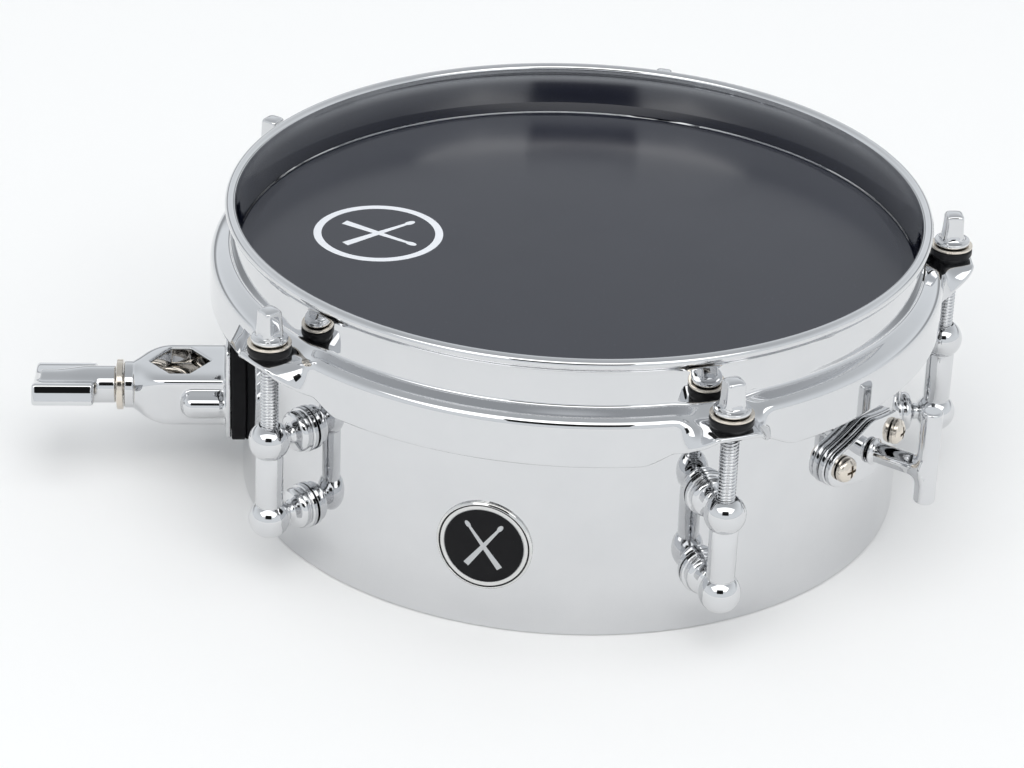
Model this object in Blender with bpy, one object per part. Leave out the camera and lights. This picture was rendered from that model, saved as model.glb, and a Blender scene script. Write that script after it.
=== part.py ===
"""Small chrome side drum, 8 in across and 3 in deep, with its rod clamp and snare adjuster.

Lengths are millimetres until a mesh is made, which scales them to metres. The origin is where
the clamped rod's axis crosses the middle of the clamp. +Z runs up the rod and the drum, and +X
runs from the rod to the drum's axis. Angles round the drum are degrees from +X; the clamp is
at 180 degrees. Drum heights are measured from the shell's bottom edge.
"""
import math

import bmesh
import bpy
from mathutils import Matrix, Vector

MM = 0.001
GAP = 0.3                       # running gap between neighbouring pieces

# Drum
ROD_TO_DRUM_AXIS = 123.8
CLAMP_HEIGHT = 27.7             # clamp's middle above the shell's bottom edge
SHELL_RADIUS = 101.6
SHELL_WALL = 1.2
SHELL_INNER = SHELL_RADIUS - SHELL_WALL
HEAD_TOP = 76.0
HEAD_FILM = 0.4
ROUND_STEPS = 60

# Counter hoop
COLLAR_RADIUS = 105.0
HOOP_GAUGE = 1.6
BEAD_HEIGHT = 89.6
BEAD_RADIUS = 2.2
EAR_TOP = 73.0
EAR_FLAT_HALF = 6.8             # half width of an ear's flat
EAR_BEND_END = 19.5             # distance from an ear's middle where the skirt hangs straight
EAR_HOLE_RADIUS = 5.0

# Lugs and tension rods
LUG_COUNT = 5
LUG_ANGLES = [i * 360.0 / LUG_COUNT for i in range(LUG_COUNT)]
ROD_CIRCLE = 114.7
BALL_RADIUS = 6.1
UPPER_BALL = 45.2
LOWER_BALL = 19.5
NUT_LOW = UPPER_BALL - 3.6
NUT_HIGH = UPPER_BALL + 3.0
TUBE_RADIUS = 4.1
THREAD_RADIUS = 2.7
THREAD_BORE = THREAD_RADIUS + GAP
ROSETTE_RADIUS = 6.8
SEAT_RADIUS = SHELL_RADIUS + GAP
LUG_SCREW_RADIUS = 2.1

# Clamp, measured from the rod's axis towards the drum
BODY_HALF_WIDTH = 12.5
BODY_HALF_HEIGHT = 8.5
BOSS_END = -14.0
BOSS_RADIUS = 7.2
FLANGE_START = 17.4
FLANGE_END = 19.0
FLANGE_HALF_WIDTH = 17.6
FLANGE_LOW = -10.8
FLANGE_HIGH = 20.2
ROD_HOLE = [(12.5, 0), (6.2, 8.4), (0.2, 8.4), (-6.1, 0), (0.2, -8.4), (6.2, -8.4)]
EYE_CENTRE = -1.7
EYE_INNER = 6.45
EYE_OUTER = 9.8
EYE_HALF_HEIGHT = 2.4
EYE_TRAVEL = 4.0
BOLT_RADIUS = 3.0
WING_START = -16.6
WING_END = -41.7
CLAMP_SCREW_OFFSET = 13.0

# Snare adjuster
STRAINER_ANGLE = 322.0
BUTT_ANGLE = STRAINER_ANGLE - 180
STRAINER_HEIGHT = 41.5
STRAINER_SCREW_OFFSET = 14.1
SPINDLE_RADIUS = 2.5
SNARE_HALF_WIDTH = 17.0
WIRE_COUNT = 8

# Badge
BADGE_ANGLE = 252.0
BADGE_HEIGHT = 27.6
BADGE_RADIUS = 14.2

FINISHES = {
    "chrome": ((0.62, 0.63, 0.65, 1), 0.08, 1.0),
    "nickel": ((0.62, 0.57, 0.50, 1), 0.22, 1.0),
    "steel": ((0.55, 0.55, 0.56, 1), 0.3, 1.0),
    "brass": ((0.70, 0.52, 0.24, 1), 0.25, 1.0),
    "aluminium": ((0.70, 0.71, 0.72, 1), 0.35, 1.0),
    "black_rubber": ((0.012, 0.012, 0.013, 1), 0.55, 0.0),
    "black_nylon": ((0.015, 0.015, 0.016, 1), 0.4, 0.0),
    "head_film": ((0.07, 0.075, 0.085, 1), 0.15, 0.0),
    "badge_black": ((0.012, 0.012, 0.013, 1), 0.25, 0.0),
}


def clear_scene():
    for thing in list(bpy.data.objects):
        bpy.data.objects.remove(thing, do_unlink=True)


def material(name):
    found = bpy.data.materials.get(name)
    if found:
        return found
    colour, roughness, metallic = FINISHES[name.split("__")[0]]
    made = bpy.data.materials.new(name)
    made.use_nodes = True
    shader = made.node_tree.nodes["Principled BSDF"]
    shader.inputs["Base Color"].default_value = colour
    shader.inputs["Roughness"].default_value = roughness
    shader.inputs["Metallic"].default_value = metallic
    return made


def empty(name, location, angle=0.0, parent=None):
    made = bpy.data.objects.new(name, None)
    made.location = Vector(location) * MM
    made.rotation_euler = (0, 0, math.radians(angle))
    made.parent = parent
    bpy.context.collection.objects.link(made)
    return made


def mesh_from(name, points, faces):
    """Mesh in metres from points in millimetres, with its faces turned outwards."""
    mesh = bpy.data.meshes.new(name)
    mesh.from_pydata([Vector(point) * MM for point in points], [], faces)
    work = bmesh.new()
    work.from_mesh(mesh)
    bmesh.ops.recalc_face_normals(work, faces=work.faces)
    work.to_mesh(mesh)
    work.free()
    return mesh


def place(name, mesh, finish, parent=None, location=(0, 0, 0), angle=0.0):
    made = bpy.data.objects.new(name, mesh)
    made.location = Vector(location) * MM
    made.rotation_euler = (0, 0, math.radians(angle))
    made.parent = parent
    bpy.context.collection.objects.link(made)
    mesh.materials.clear()
    mesh.materials.append(material(finish + "__" + name))
    mesh.shade_smooth()
    mesh.set_sharp_from_angle(angle=math.radians(35))
    return made


def rolled_sections(name, sections, closed_path=True):
    """Skin over a list of equal-sized closed sections; an open path gets flat caps."""
    size = len(sections[0])
    points = [point for section in sections for point in section]
    faces = []
    last = len(sections) if closed_path else len(sections) - 1
    for i in range(last):
        here, there = i * size, (i + 1) % len(sections) * size
        for j in range(size):
            k = (j + 1) % size
            faces.append((here + j, here + k, there + k, there + j))
    if not closed_path:
        faces.append(tuple(range(size - 1, -1, -1)))
        faces.append(tuple(range((len(sections) - 1) * size, len(sections) * size)))
    return mesh_from(name, points, faces)


def turned(name, profile, steps=24, axis="Z"):
    """Solid of revolution of an (r, height) profile about Z, or about X when axis is X.

    A profile that starts and ends on the axis closes there; any other is a closed ring.
    """
    solid = profile[0][0] == 0 and profile[-1][0] == 0
    rim = profile[1:-1] if solid else profile
    points, faces = [], []
    for i in range(steps):
        turn = 2 * math.pi * i / steps
        points += [(r * math.cos(turn), r * math.sin(turn), h) for r, h in rim]
    size = len(rim)
    for i in range(steps):
        here, there = i * size, (i + 1) % steps * size
        for j in range(size - 1 if solid else size):
            k = (j + 1) % size
            faces.append((here + j, there + j, there + k, here + k))
    if solid:
        points += [(0, 0, profile[0][1]), (0, 0, profile[-1][1])]
        top, foot = len(points) - 2, len(points) - 1
        for i in range(steps):
            here, there = i * size, (i + 1) % steps * size
            faces.append((top, there, here))
            faces.append((foot, here + size - 1, there + size - 1))
    if axis == "X":
        points = [(h, x, y) for x, y, h in points]
    return mesh_from(name, points, faces)


def prism(name, outline, low, high, axis="Z"):
    """Straight prism of a 2D outline along Z, or along X with the outline in (y, z)."""
    if axis == "Z":
        ends = [[(a, b, h) for a, b in outline] for h in (low, high)]
    else:
        ends = [[(h, a, b) for a, b in outline] for h in (low, high)]
    return rolled_sections(name, ends, closed_path=False)


def box(name, low, high):
    corners = [(low[0], low[1]), (high[0], low[1]), (high[0], high[1]), (low[0], high[1])]
    return prism(name, corners, low[2], high[2])


def arc(cx, cy, radius, start, end, steps):
    """Points along an arc, with both ends, angles in degrees."""
    turns = [math.radians(start + (end - start) * i / steps) for i in range(steps + 1)]
    return [(cx + radius * math.cos(t), cy + radius * math.sin(t)) for t in turns]


def moved(mesh, offset=(0, 0, 0), turn=0.0, axis="Z"):
    """The mesh turned about an axis by degrees and then moved by millimetres."""
    matrix = Matrix.Translation(Vector(offset) * MM) @ Matrix.Rotation(math.radians(turn), 4, axis)
    mesh.transform(matrix)
    return mesh


def joined(name, meshes):
    """One mesh that holds separate bodies, for a cutter of several holes."""
    work = bmesh.new()
    for mesh in meshes:
        work.from_mesh(mesh)
    made = bpy.data.meshes.new(name)
    work.to_mesh(made)
    work.free()
    return made


def combined(name, base, steps):
    """The base mesh after Boolean steps, a list of (operation, mesh)."""
    body = bpy.data.objects.new(name, base)
    bpy.context.collection.objects.link(body)
    tools = []
    for number, (operation, mesh) in enumerate(steps):
        tool = bpy.data.objects.new(name + "_tool" + str(number), mesh)
        tool.hide_render = True
        tool.display_type = "WIRE"
        bpy.context.collection.objects.link(tool)
        modifier = body.modifiers.new("step" + str(number), "BOOLEAN")
        modifier.operation = operation
        modifier.solver = "EXACT"
        modifier.object = tool
        tools.append(tool)
    graph = bpy.context.evaluated_depsgraph_get()
    made = bpy.data.meshes.new_from_object(body.evaluated_get(graph))
    made.name = name
    for used in tools + [body]:
        bpy.data.objects.remove(used, do_unlink=True)
    return made


def radial_hole(radius, angle, height, offset=0.0, start=80.0, end=125.0):
    """Cutter along the drum's radius at an angle, shifted sideways by an offset."""
    hole = turned("hole", [(0, end), (radius, end), (radius, start), (0, start)], 12, "X")
    moved(hole, (0, offset, height))
    return moved(hole, (0, 0, 0), angle)


def wrapped(mesh, radius):
    """Bend a flat plate round the drum: y runs round the wall, x becomes the distance from it."""
    for vertex in mesh.vertices:
        x, y, z = vertex.co
        turn = y / (radius * MM)
        vertex.co = (x * math.cos(turn), x * math.sin(turn), z)
    return mesh


# ---------------------------------------------------------------------------- shell and head

def shell_mesh():
    """Rolled steel shell: flat rolled lip at the foot, bearing edge turned in at the top."""
    outer = [(97.6, 75.3), (98.5, 75.3), (99.8, 74.9), (101.0, 73.9), (SHELL_RADIUS, 72.4),
             (SHELL_RADIUS, 0.7), (101.0, 0.0), (98.5, 0.0), (97.9, 0.6), (97.9, 2.2),
             (98.6, 2.8), (SHELL_INNER, 3.4)]
    inner = [(SHELL_INNER, 72.0), (99.6, 73.2), (98.4, 74.0), (97.6, 74.2)]
    wall = turned("shell", outer + inner, ROUND_STEPS)
    holes = [radial_hole(LUG_SCREW_RADIUS + 0.4, angle, height)
             for angle in LUG_ANGLES for height in (UPPER_BALL, LOWER_BALL)]
    holes += [radial_hole(LUG_SCREW_RADIUS + 0.4, 180, CLAMP_HEIGHT, side * CLAMP_SCREW_OFFSET)
              for side in (-1, 1)]
    holes += [radial_hole(2.1, STRAINER_ANGLE + side * screw_turn(), STRAINER_HEIGHT)
              for side in (-1, 1)]
    holes += [radial_hole(SPINDLE_RADIUS + 0.4, STRAINER_ANGLE, STRAINER_HEIGHT)]
    holes += [radial_hole(2.1, BUTT_ANGLE, 60.0, side * 5.0) for side in (-1, 1)]
    return combined("shell", wall, [("DIFFERENCE", joined("holes", holes))])


def screw_turn():
    """Angle at the shell between the spindle and an adjuster screw."""
    return math.degrees(STRAINER_SCREW_OFFSET / SHELL_RADIUS)


def head_mesh():
    """Film with a flat top, a soft shoulder over the bearing edge and a collar."""
    low = HEAD_TOP - HEAD_FILM
    top = [(0, HEAD_TOP), (98.4, HEAD_TOP), (99.9, 75.6), (101.3, 74.6), (102.3, 73.1),
           (102.6, 71.4)]
    under = [(102.2, 71.4), (101.9, 73.0), (101.0, 74.4), (99.8, 75.2), (98.4, low), (0, low)]
    return turned("drum_head", top + under, ROUND_STEPS)


def flesh_hoop_mesh():
    """Channel ring that holds the film's edge under the counter hoop's ledge."""
    profile = [(102.9, 73.2), (103.3, 73.6), (104.8, 73.6), (105.2, 73.2), (105.2, 69.2),
               (102.9, 69.2)]
    return turned("flesh_hoop", profile, ROUND_STEPS)


# ------------------------------------------------------------------------------ counter hoop

def smooth(t):
    t = min(max(t, 0.0), 1.0)
    return t * t * (3 - 2 * t)


def skirt_share(turn):
    """0 on an ear's flat, 1 where the skirt hangs straight, by distance from the nearest ear."""
    pitch = 360.0 / LUG_COUNT
    away = abs((turn + pitch / 2) % pitch - pitch / 2)
    arc_length = math.radians(away) * ROD_CIRCLE
    return smooth((arc_length - EAR_FLAT_HALF) / (EAR_BEND_END - EAR_FLAT_HALF))


def flange_line(share):
    """Top line of the flange from the collar's foot outwards, as (r, height) points.

    Its slope is a blend of the ear's, a short drop and then level, and the skirt's, a shallow
    ledge that rolls over into a straight fall.
    """
    ear = [(2.0, 52), (2.0, 52), (1.2, 24), (2.0, 0), (3.0, 0), (3.0, 0), (3.6, 0)]
    skirt = [(1.8, 18), (1.8, 18), (1.6, 36), (1.7, 60), (1.6, 82), (5.0, 90), (5.6, 90)]
    r, z = COLLAR_RADIUS, 76.9
    line = [(r, z)]
    for (ear_step, ear_slope), (skirt_step, skirt_slope) in zip(ear, skirt):
        step = ear_step + (skirt_step - ear_step) * share
        slope = math.radians(ear_slope + (skirt_slope - ear_slope) * share)
        r += step * math.cos(slope)
        z -= step * math.sin(slope)
        line.append((r, z))
    return line


def offset_line(line, distance):
    """The line moved sideways to its right by a distance."""
    moved_line = []
    for i, (r, z) in enumerate(line):
        before = line[max(i - 1, 0)]
        after = line[min(i + 1, len(line) - 1)]
        dr, dz = after[0] - before[0], after[1] - before[1]
        length = math.hypot(dr, dz)
        moved_line.append((r + distance * dz / length, z - distance * dr / length))
    return moved_line


def hoop_section(turn):
    """Closed section of the hoop: bead, collar and flange, at one angle round the drum."""
    bead = arc(COLLAR_RADIUS - HOOP_GAUGE + BEAD_RADIUS, BEAD_HEIGHT, BEAD_RADIUS, 180, -70, 5)
    top = flange_line(skirt_share(turn))
    under = offset_line(top, HOOP_GAUGE)
    under = [(COLLAR_RADIUS - HOOP_GAUGE, 75.8)] + under[1:]
    profile = bead + [(COLLAR_RADIUS, 86.8)] + top + under[::-1]
    c, s = math.cos(math.radians(turn)), math.sin(math.radians(turn))
    return [(r * c, r * s, z) for r, z in profile]


def hoop_mesh():
    """Pressed hoop whose skirt flares out flat into an ear at each tension rod."""
    offsets = [-36, -28, -20, -12, -9.2, -7.4, -5.6, -3.2, 0, 3.2, 5.6, 7.4, 9.2, 12, 20, 28]
    turns = [angle + offset for angle in LUG_ANGLES for offset in offsets]
    ring = rolled_sections("counter_hoop", [hoop_section(turn) for turn in turns])
    holes = []
    for angle in LUG_ANGLES:
        hole = prism("ear_hole", arc(0, 0, EAR_HOLE_RADIUS, 0, 337.5, 15), 60, 80)
        moved(hole, (ROD_CIRCLE, 0, 0))
        holes.append(moved(hole, (0, 0, 0), angle))
    return combined("counter_hoop", ring, [("DIFFERENCE", joined("ear_holes", holes))])


# ---------------------------------------------------------------------- lugs and tension rods

def ball_points(height, start, end, steps=5):
    """Profile points down the outside of a lug's ball."""
    points = arc(0, 0, BALL_RADIUS, start, end, steps)
    return [(r, height + z) for r, z in points]


def lug_mesh():
    """Tube lug: two balls on a tube, each with a neck and rosette reaching to the shell."""
    tube_turn = math.degrees(math.acos(TUBE_RADIUS / BALL_RADIUS))
    profile = [(0, UPPER_BALL + 5.2), (3.2, UPPER_BALL + 5.2)]
    profile += ball_points(UPPER_BALL, 54, -tube_turn)
    profile += ball_points(LOWER_BALL, tube_turn, -72)
    profile += [(0, LOWER_BALL - BALL_RADIUS)]
    post = turned("lug", profile, 16)
    seat = SEAT_RADIUS - ROD_CIRCLE
    neck = [(0, 0), (2.4, 0), (2.4, -5.0), (3.2, -7.2), (5.6, -8.6), (6.2, -9.8), (5.9, -11.0),
            (ROSETTE_RADIUS, -11.5), (ROSETTE_RADIUS, seat), (0, seat)]
    necks = [moved(turned("neck", neck, 14, "X"), (0, 0, height))
             for height in (UPPER_BALL, LOWER_BALL)]
    bore = [(0, 60), (THREAD_BORE, 60), (THREAD_BORE, NUT_HIGH), (4.4, NUT_HIGH),
            (4.4, NUT_LOW), (THREAD_BORE, NUT_LOW), (THREAD_BORE, 28), (0, 28)]
    taps = [turned("tap", [(0, -5.8), (2.4, -5.8), (2.4, -20), (0, -20)], 10, "X")
            for _ in range(2)]
    cutters = [turned("bore", bore, 12)]
    cutters += [moved(tap, (0, 0, height)) for tap, height in zip(taps, (UPPER_BALL, LOWER_BALL))]
    steps = [("UNION", neck_mesh) for neck_mesh in necks]
    steps += [("DIFFERENCE", joined("lug_bores", cutters))]
    return combined("lug", post, steps)


def lug_nut_mesh():
    """Threaded brass insert inside the upper ball."""
    low, high = NUT_LOW + GAP, NUT_HIGH - GAP
    profile = [(THREAD_BORE, high), (4.1, high), (4.1, low), (THREAD_BORE, low)]
    return turned("lug_nut", profile, 12)


def tension_rod_mesh():
    """Square-headed rod with a round flange and a threaded shank."""
    profile = [(0, 84), (2.6, 84), (2.6, 80.6), (4.0, 79.8), (5.4, 79.2), (5.4, 78.0),
               (THREAD_RADIUS, 78.0), (THREAD_RADIUS, 33), (1.9, 31.8), (0, 31.8)]
    shank = turned("tension_rod", profile, 16)
    half, top = 2.8, 88.1
    sections = []
    for height, reach in ((79.6, half), (top - 1.1, half), (top - 0.3, half - 0.7), (top, 1.2)):
        nip = min(0.7, reach * 0.3)
        corner = [(reach, -reach + nip), (reach, reach - nip), (reach - nip, reach),
                  (-reach + nip, reach), (-reach, reach - nip), (-reach, -reach + nip),
                  (-reach + nip, -reach), (reach - nip, -reach)]
        sections.append([(x, y, height) for x, y in corner])
    key = rolled_sections("key_head", sections, closed_path=False)
    return combined("tension_rod", shank, [("UNION", key)])


def washer_mesh():
    profile = [(THREAD_BORE, 77.7), (6.4, 77.7), (6.4, 76.9), (THREAD_BORE, 76.9)]
    return turned("rod_washer", profile, 16)


def grommet_mesh():
    """Flanged black bush that seats in an ear's hole under the washer."""
    profile = [(THREAD_BORE, 76.6), (6.2, 76.6), (6.4, 76.2), (6.4, 74.6), (5.6, 73.3),
               (4.7, 73.3), (4.7, 70.6), (THREAD_BORE, 70.6)]
    return turned("rod_grommet", profile, 14)


def inside_screw_mesh(tip):
    """Pan-head screw through the shell from inside, along the radius, to a tip radius."""
    seat = SHELL_INNER - GAP - 0.15
    head = [(0, seat - 3.2), (2.2, seat - 3.2), (3.9, seat - 2.2), (4.3, seat - 1.0), (4.3, seat)]
    shank = [(LUG_SCREW_RADIUS, seat), (LUG_SCREW_RADIUS, tip - 0.6),
             (LUG_SCREW_RADIUS - 0.6, tip), (0, tip)]
    return turned("screw", head + shank, 8, "X")


def fittings_round_the_drum(drum):
    lug, nut, rod = lug_mesh(), lug_nut_mesh(), tension_rod_mesh()
    washer, grommet, screw = washer_mesh(), grommet_mesh(), inside_screw_mesh(108.2)
    pieces = (("lug", lug, "chrome"), ("lug_nut", nut, "brass"), ("tension_rod", rod, "chrome"),
              ("rod_washer", washer, "nickel"), ("rod_grommet", grommet, "black_nylon"))
    for number, angle in enumerate(LUG_ANGLES, 1):
        turn = math.radians(angle)
        spot = (ROD_CIRCLE * math.cos(turn), ROD_CIRCLE * math.sin(turn), 0)
        for name, mesh, finish in pieces:
            place(name + "_" + str(number), mesh.copy(), finish, drum, spot, angle)
        for level, height in (("upper", UPPER_BALL), ("lower", LOWER_BALL)):
            name = "lug_screw_" + level + "_" + str(number)
            place(name, screw.copy(), "steel", drum, (0, 0, height), angle)


# --------------------------------------------------------------------------------- rod clamp

def rounded_section(x, half_width, half_height, power, steps=20):
    """Closed superellipse in the plane at x, from a circle (power 2) to a rounded oblong."""
    section = []
    for i in range(steps):
        turn = 2 * math.pi * (i + 0.5) / steps
        c, s = math.cos(turn), math.sin(turn)
        y = math.copysign(abs(c) ** (2 / power), c) * half_width
        z = math.copysign(abs(s) ** (2 / power), s) * half_height
        section.append((x, y, z))
    return section


def clamp_casting_mesh():
    """Egg-nosed casting: rod hole with two vees, eye-bolt slot, two screw ribs and a flange."""
    sections = [rounded_section(BOSS_END, BOSS_RADIUS, BOSS_RADIUS, 2),
                rounded_section(-11.4, BOSS_RADIUS, BOSS_RADIUS, 2)]
    for share in (0.15, 0.35, 0.6, 0.8, 1.0):
        x = -11.4 + 12.4 * share
        swell = math.sin(share * math.pi / 2)
        sections.append(rounded_section(
            x, BOSS_RADIUS + (BODY_HALF_WIDTH - BOSS_RADIUS) * swell,
            BOSS_RADIUS + (BODY_HALF_HEIGHT - BOSS_RADIUS) * swell, 2 + 5 * share))
    sections.append(rounded_section(18.0, BODY_HALF_WIDTH, BODY_HALF_HEIGHT, 7))
    body = rolled_sections("clamp_casting", sections, closed_path=False)
    rib = [(0, 4.0), (2.4, 4.3), (3.8, 5.6), (4.2, 7.6), (4.2, 18), (0, 18)]
    ribs = [moved(turned("rib", rib, 16, "X"), (0, side * CLAMP_SCREW_OFFSET, 0))
            for side in (-1, 1)]
    flange = prism("flange", flange_outline(0.0), FLANGE_START, FLANGE_END, "X")
    rod_hole = prism("rod_hole", ROD_HOLE, -20, 20)
    slot = prism("eye_slot", slot_outline(), -EYE_HALF_HEIGHT - 0.4, EYE_HALF_HEIGHT + 0.4)
    bore = turned("bolt_bore", [(0, -20), (3.4, -20), (3.4, -3), (0, -3)], 16, "X")
    taps = [moved(turned("tap", [(0, 7.2), (2.4, 7.2), (2.4, 25), (0, 25)], 12, "X"),
                  (0, side * CLAMP_SCREW_OFFSET, 0)) for side in (-1, 1)]
    steps = [("UNION", flange)] + [("UNION", rib_mesh) for rib_mesh in ribs]
    steps += [("DIFFERENCE", rod_hole), ("DIFFERENCE", slot), ("DIFFERENCE", bore)]
    steps += [("DIFFERENCE", joined("taps", taps))]
    return combined("clamp_casting", body, steps)


def flange_outline(grow):
    """Barrel-sided outline in (y, z): straight top and foot, sides bowed out by a little."""
    low, high = FLANGE_LOW - grow, FLANGE_HIGH + grow
    middle, half = (low + high) / 2, (high - low) / 2
    right = []
    for i in range(9):
        height = -half + 2 * half * i / 8
        bow = 1.8 * (1 - (height / half) ** 2)
        corner = 1.2 if i in (0, 8) else 0.0
        right.append((FLANGE_HALF_WIDTH - 1.8 + bow - corner + grow, middle + height))
    left = [(-y, z) for y, z in reversed(right)]
    return right + left


def slot_outline():
    """Stadium that lets the eye slide towards the drum by its travel."""
    reach = EYE_OUTER + 0.35
    left = arc(EYE_CENTRE, 0, reach, 90, 270, 10)
    right = arc(EYE_CENTRE + EYE_TRAVEL, 0, reach, -90, 90, 10)
    return left + right


def gasket_mesh():
    """Rubber saddle between the flat flange and the round shell."""
    near, far = FLANGE_END + GAP, 30.0
    block = prism("clamp_gasket", flange_outline(0.5), near, far, "X")
    wall = [(0, 50), (SEAT_RADIUS, 50), (SEAT_RADIUS, -50), (0, -50)]
    drum = moved(turned("drum_wall", wall, 2 * ROUND_STEPS), (ROD_TO_DRUM_AXIS, 0, 0))
    taps = [moved(turned("tap", [(0, 15), (2.5, 15), (2.5, 35), (0, 35)], 12, "X"),
                  (0, side * CLAMP_SCREW_OFFSET, 0)) for side in (-1, 1)]
    return combined("clamp_gasket", block,
                    [("DIFFERENCE", drum), ("DIFFERENCE", joined("taps", taps))])


def eye_bolt_mesh():
    """Flat eye round the rod on a threaded shank that runs out through the boss."""
    eye = prism("eye_bolt", arc(EYE_CENTRE, 0, EYE_OUTER, 0, 345, 23),
                -EYE_HALF_HEIGHT, EYE_HALF_HEIGHT)
    shank = turned("shank", [(0, -30.5), (2.4, -30.5), (BOLT_RADIUS, -29.9),
                             (BOLT_RADIUS, -9.6), (0, -9.6)], 16, "X")
    hole = prism("eye_hole", arc(EYE_CENTRE, 0, EYE_INNER, 0, 345, 23), -10, 10)
    return combined("eye_bolt", eye, [("UNION", shank), ("DIFFERENCE", hole)])


def lock_washer_mesh():
    """Thick nickel washer between the casting's boss and the wing nut."""
    near, far = BOSS_END - GAP, WING_START + GAP
    profile = [(3.4, near), (7.4, near), (7.75, near - 0.4), (7.75, far + 0.4), (7.4, far),
               (3.4, far)]
    return turned("wing_washer", profile, 24, "X")


def wing_outline():
    """Cross-section of the wings: a bar with thick rounded tips and a thinner waist."""
    tip = [(14.0, -1.6), (14.0, 2.0), (12.8, 3.3), (9.4, 3.2), (6.2, 2.2)]
    back = [(-y, -z) for y, z in tip]
    fore = [(6.2, -2.2), (9.4, -3.2), (12.8, -3.0)]
    aft = [(-y, -z) for y, z in fore]
    return fore + tip + aft + back


def wing_nut_mesh():
    """Cast nut: round hub towards the clamp and two long wings beyond it."""
    wings = prism("wing_nut", wing_outline(), WING_END, -23.4, "X")
    hub = turned("hub", [(0, WING_END + 2), (4.2, WING_END + 2), (5.0, WING_END + 6),
                         (5.7, -24.5), (5.75, WING_START), (0, WING_START)], 20, "X")
    bore = turned("bore", [(0, -35), (3.3, -35), (3.3, -10), (0, -10)], 16, "X")
    return combined("wing_nut", wings, [("UNION", hub), ("DIFFERENCE", bore)])


def clamp_pieces():
    place("clamp_casting", clamp_casting_mesh(), "chrome")
    place("clamp_gasket", gasket_mesh(), "black_rubber")
    place("eye_bolt", eye_bolt_mesh(), "nickel")
    place("wing_washer", lock_washer_mesh(), "nickel")
    place("wing_nut", moved(wing_nut_mesh(), (0, 0, 0), -13, "X"), "chrome")
    for number, side in enumerate((-1, 1), 1):
        screw = inside_screw_mesh(116.2)
        moved(screw, (-1.5, side * CLAMP_SCREW_OFFSET, 0))
        moved(screw, (ROD_TO_DRUM_AXIS, 0, 0), 180)
        place("clamp_screw_" + str(number), screw, "steel")


# ---------------------------------------------------------------- snare adjuster, snares, badge

def lozenge(half_length, middle_radius, end_radius):
    """Outline of three circles in a row with straight tangents, in (y, z)."""
    tilt = math.degrees(math.asin((middle_radius - end_radius) / half_length))
    points = arc(half_length, 0, end_radius, tilt - 90, 90 - tilt, 8)
    points += arc(0, 0, middle_radius, 90 - tilt, 90 + tilt, 3)
    points += arc(-half_length, 0, end_radius, 90 + tilt, 270 - tilt, 8)
    points += arc(0, 0, middle_radius, 270 - tilt, 270 + tilt, 3)
    return points


def lozenge_plate(name, near, far, grow, centre_hole):
    """Plate that follows the wall, from one radius to another, with its three holes."""
    outline = lozenge(STRAINER_SCREW_OFFSET, 9.6 + grow, 6.0 + grow)
    strips = [prism(name, outline, near, far, "X")]
    holes = [turned("hole", [(0, 90), (centre_hole, 90), (centre_hole, 120), (0, 120)], 12, "X")]
    for side in (-1, 1):
        hole = turned("hole", [(0, 90), (2.1, 90), (2.1, 120), (0, 120)], 12, "X")
        holes.append(moved(hole, (0, side * STRAINER_SCREW_OFFSET, 0)))
    plate = combined(name, strips[0], [("DIFFERENCE", joined("holes", holes))])
    work = bmesh.new()
    work.from_mesh(plate)
    for cut in (-18, -15, -10, -5, 5, 10, 15, 18):
        geometry = work.verts[:] + work.edges[:] + work.faces[:]
        bmesh.ops.bisect_plane(work, geom=geometry, plane_co=(0, cut * MM, 0),
                               plane_no=(0, 1, 0), dist=1e-7)
    work.to_mesh(plate)
    work.free()
    return wrapped(plate, SHELL_RADIUS)


def phillips_screw_mesh(seat, tip):
    """Pan-head screw along the radius with a crossed recess, head outside the seat radius."""
    head = [(0, seat + 2.6), (2.0, seat + 2.6), (3.3, seat + 1.9), (3.9, seat + 0.8), (3.9, seat)]
    shank = [(1.7, seat), (1.7, tip + 0.5), (1.3, tip), (0, tip)]
    body = turned("screw", head + shank, 16, "X")
    deep, high = seat + 1.3, seat + 5
    steps = [("DIFFERENCE", box("slot", (deep, -0.45, -1.9), (high, 0.45, 1.9))),
             ("DIFFERENCE", box("slot", (deep, -1.9, -0.45), (high, 1.9, 0.45)))]
    return combined("screw", body, steps)


def t_handle_mesh():
    """Tee handle: a cross bar on a shaft with a stop collar, threaded at its inner end."""
    shaft = [(0, 124.6), (3.0, 124.6), (3.0, 108.0), (4.0, 107.2), (4.0, 106.5),
             (SPINDLE_RADIUS, 106.5), (SPINDLE_RADIUS, 84.5), (2.0, 84.0), (0, 84.0)]
    stem = turned("t_handle", shaft, 16, "X")
    bar = turned("bar", [(0, 19.4), (2.4, 19.4), (3.15, 18.8), (3.15, -10.0), (2.4, -10.6),
                         (0, -10.6)], 16)
    web = [(119.0, 0), (123.6, 6.0), (123.6, -6.0)]
    gusset = prism("gusset", [(x, z) for x, z in web], -1.6, 1.6)
    moved(gusset, (0, 0, 0), 90, "X")
    return combined("t_handle", stem, [("UNION", moved(bar, (124.6, 0, 0))), ("UNION", gusset)])


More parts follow.
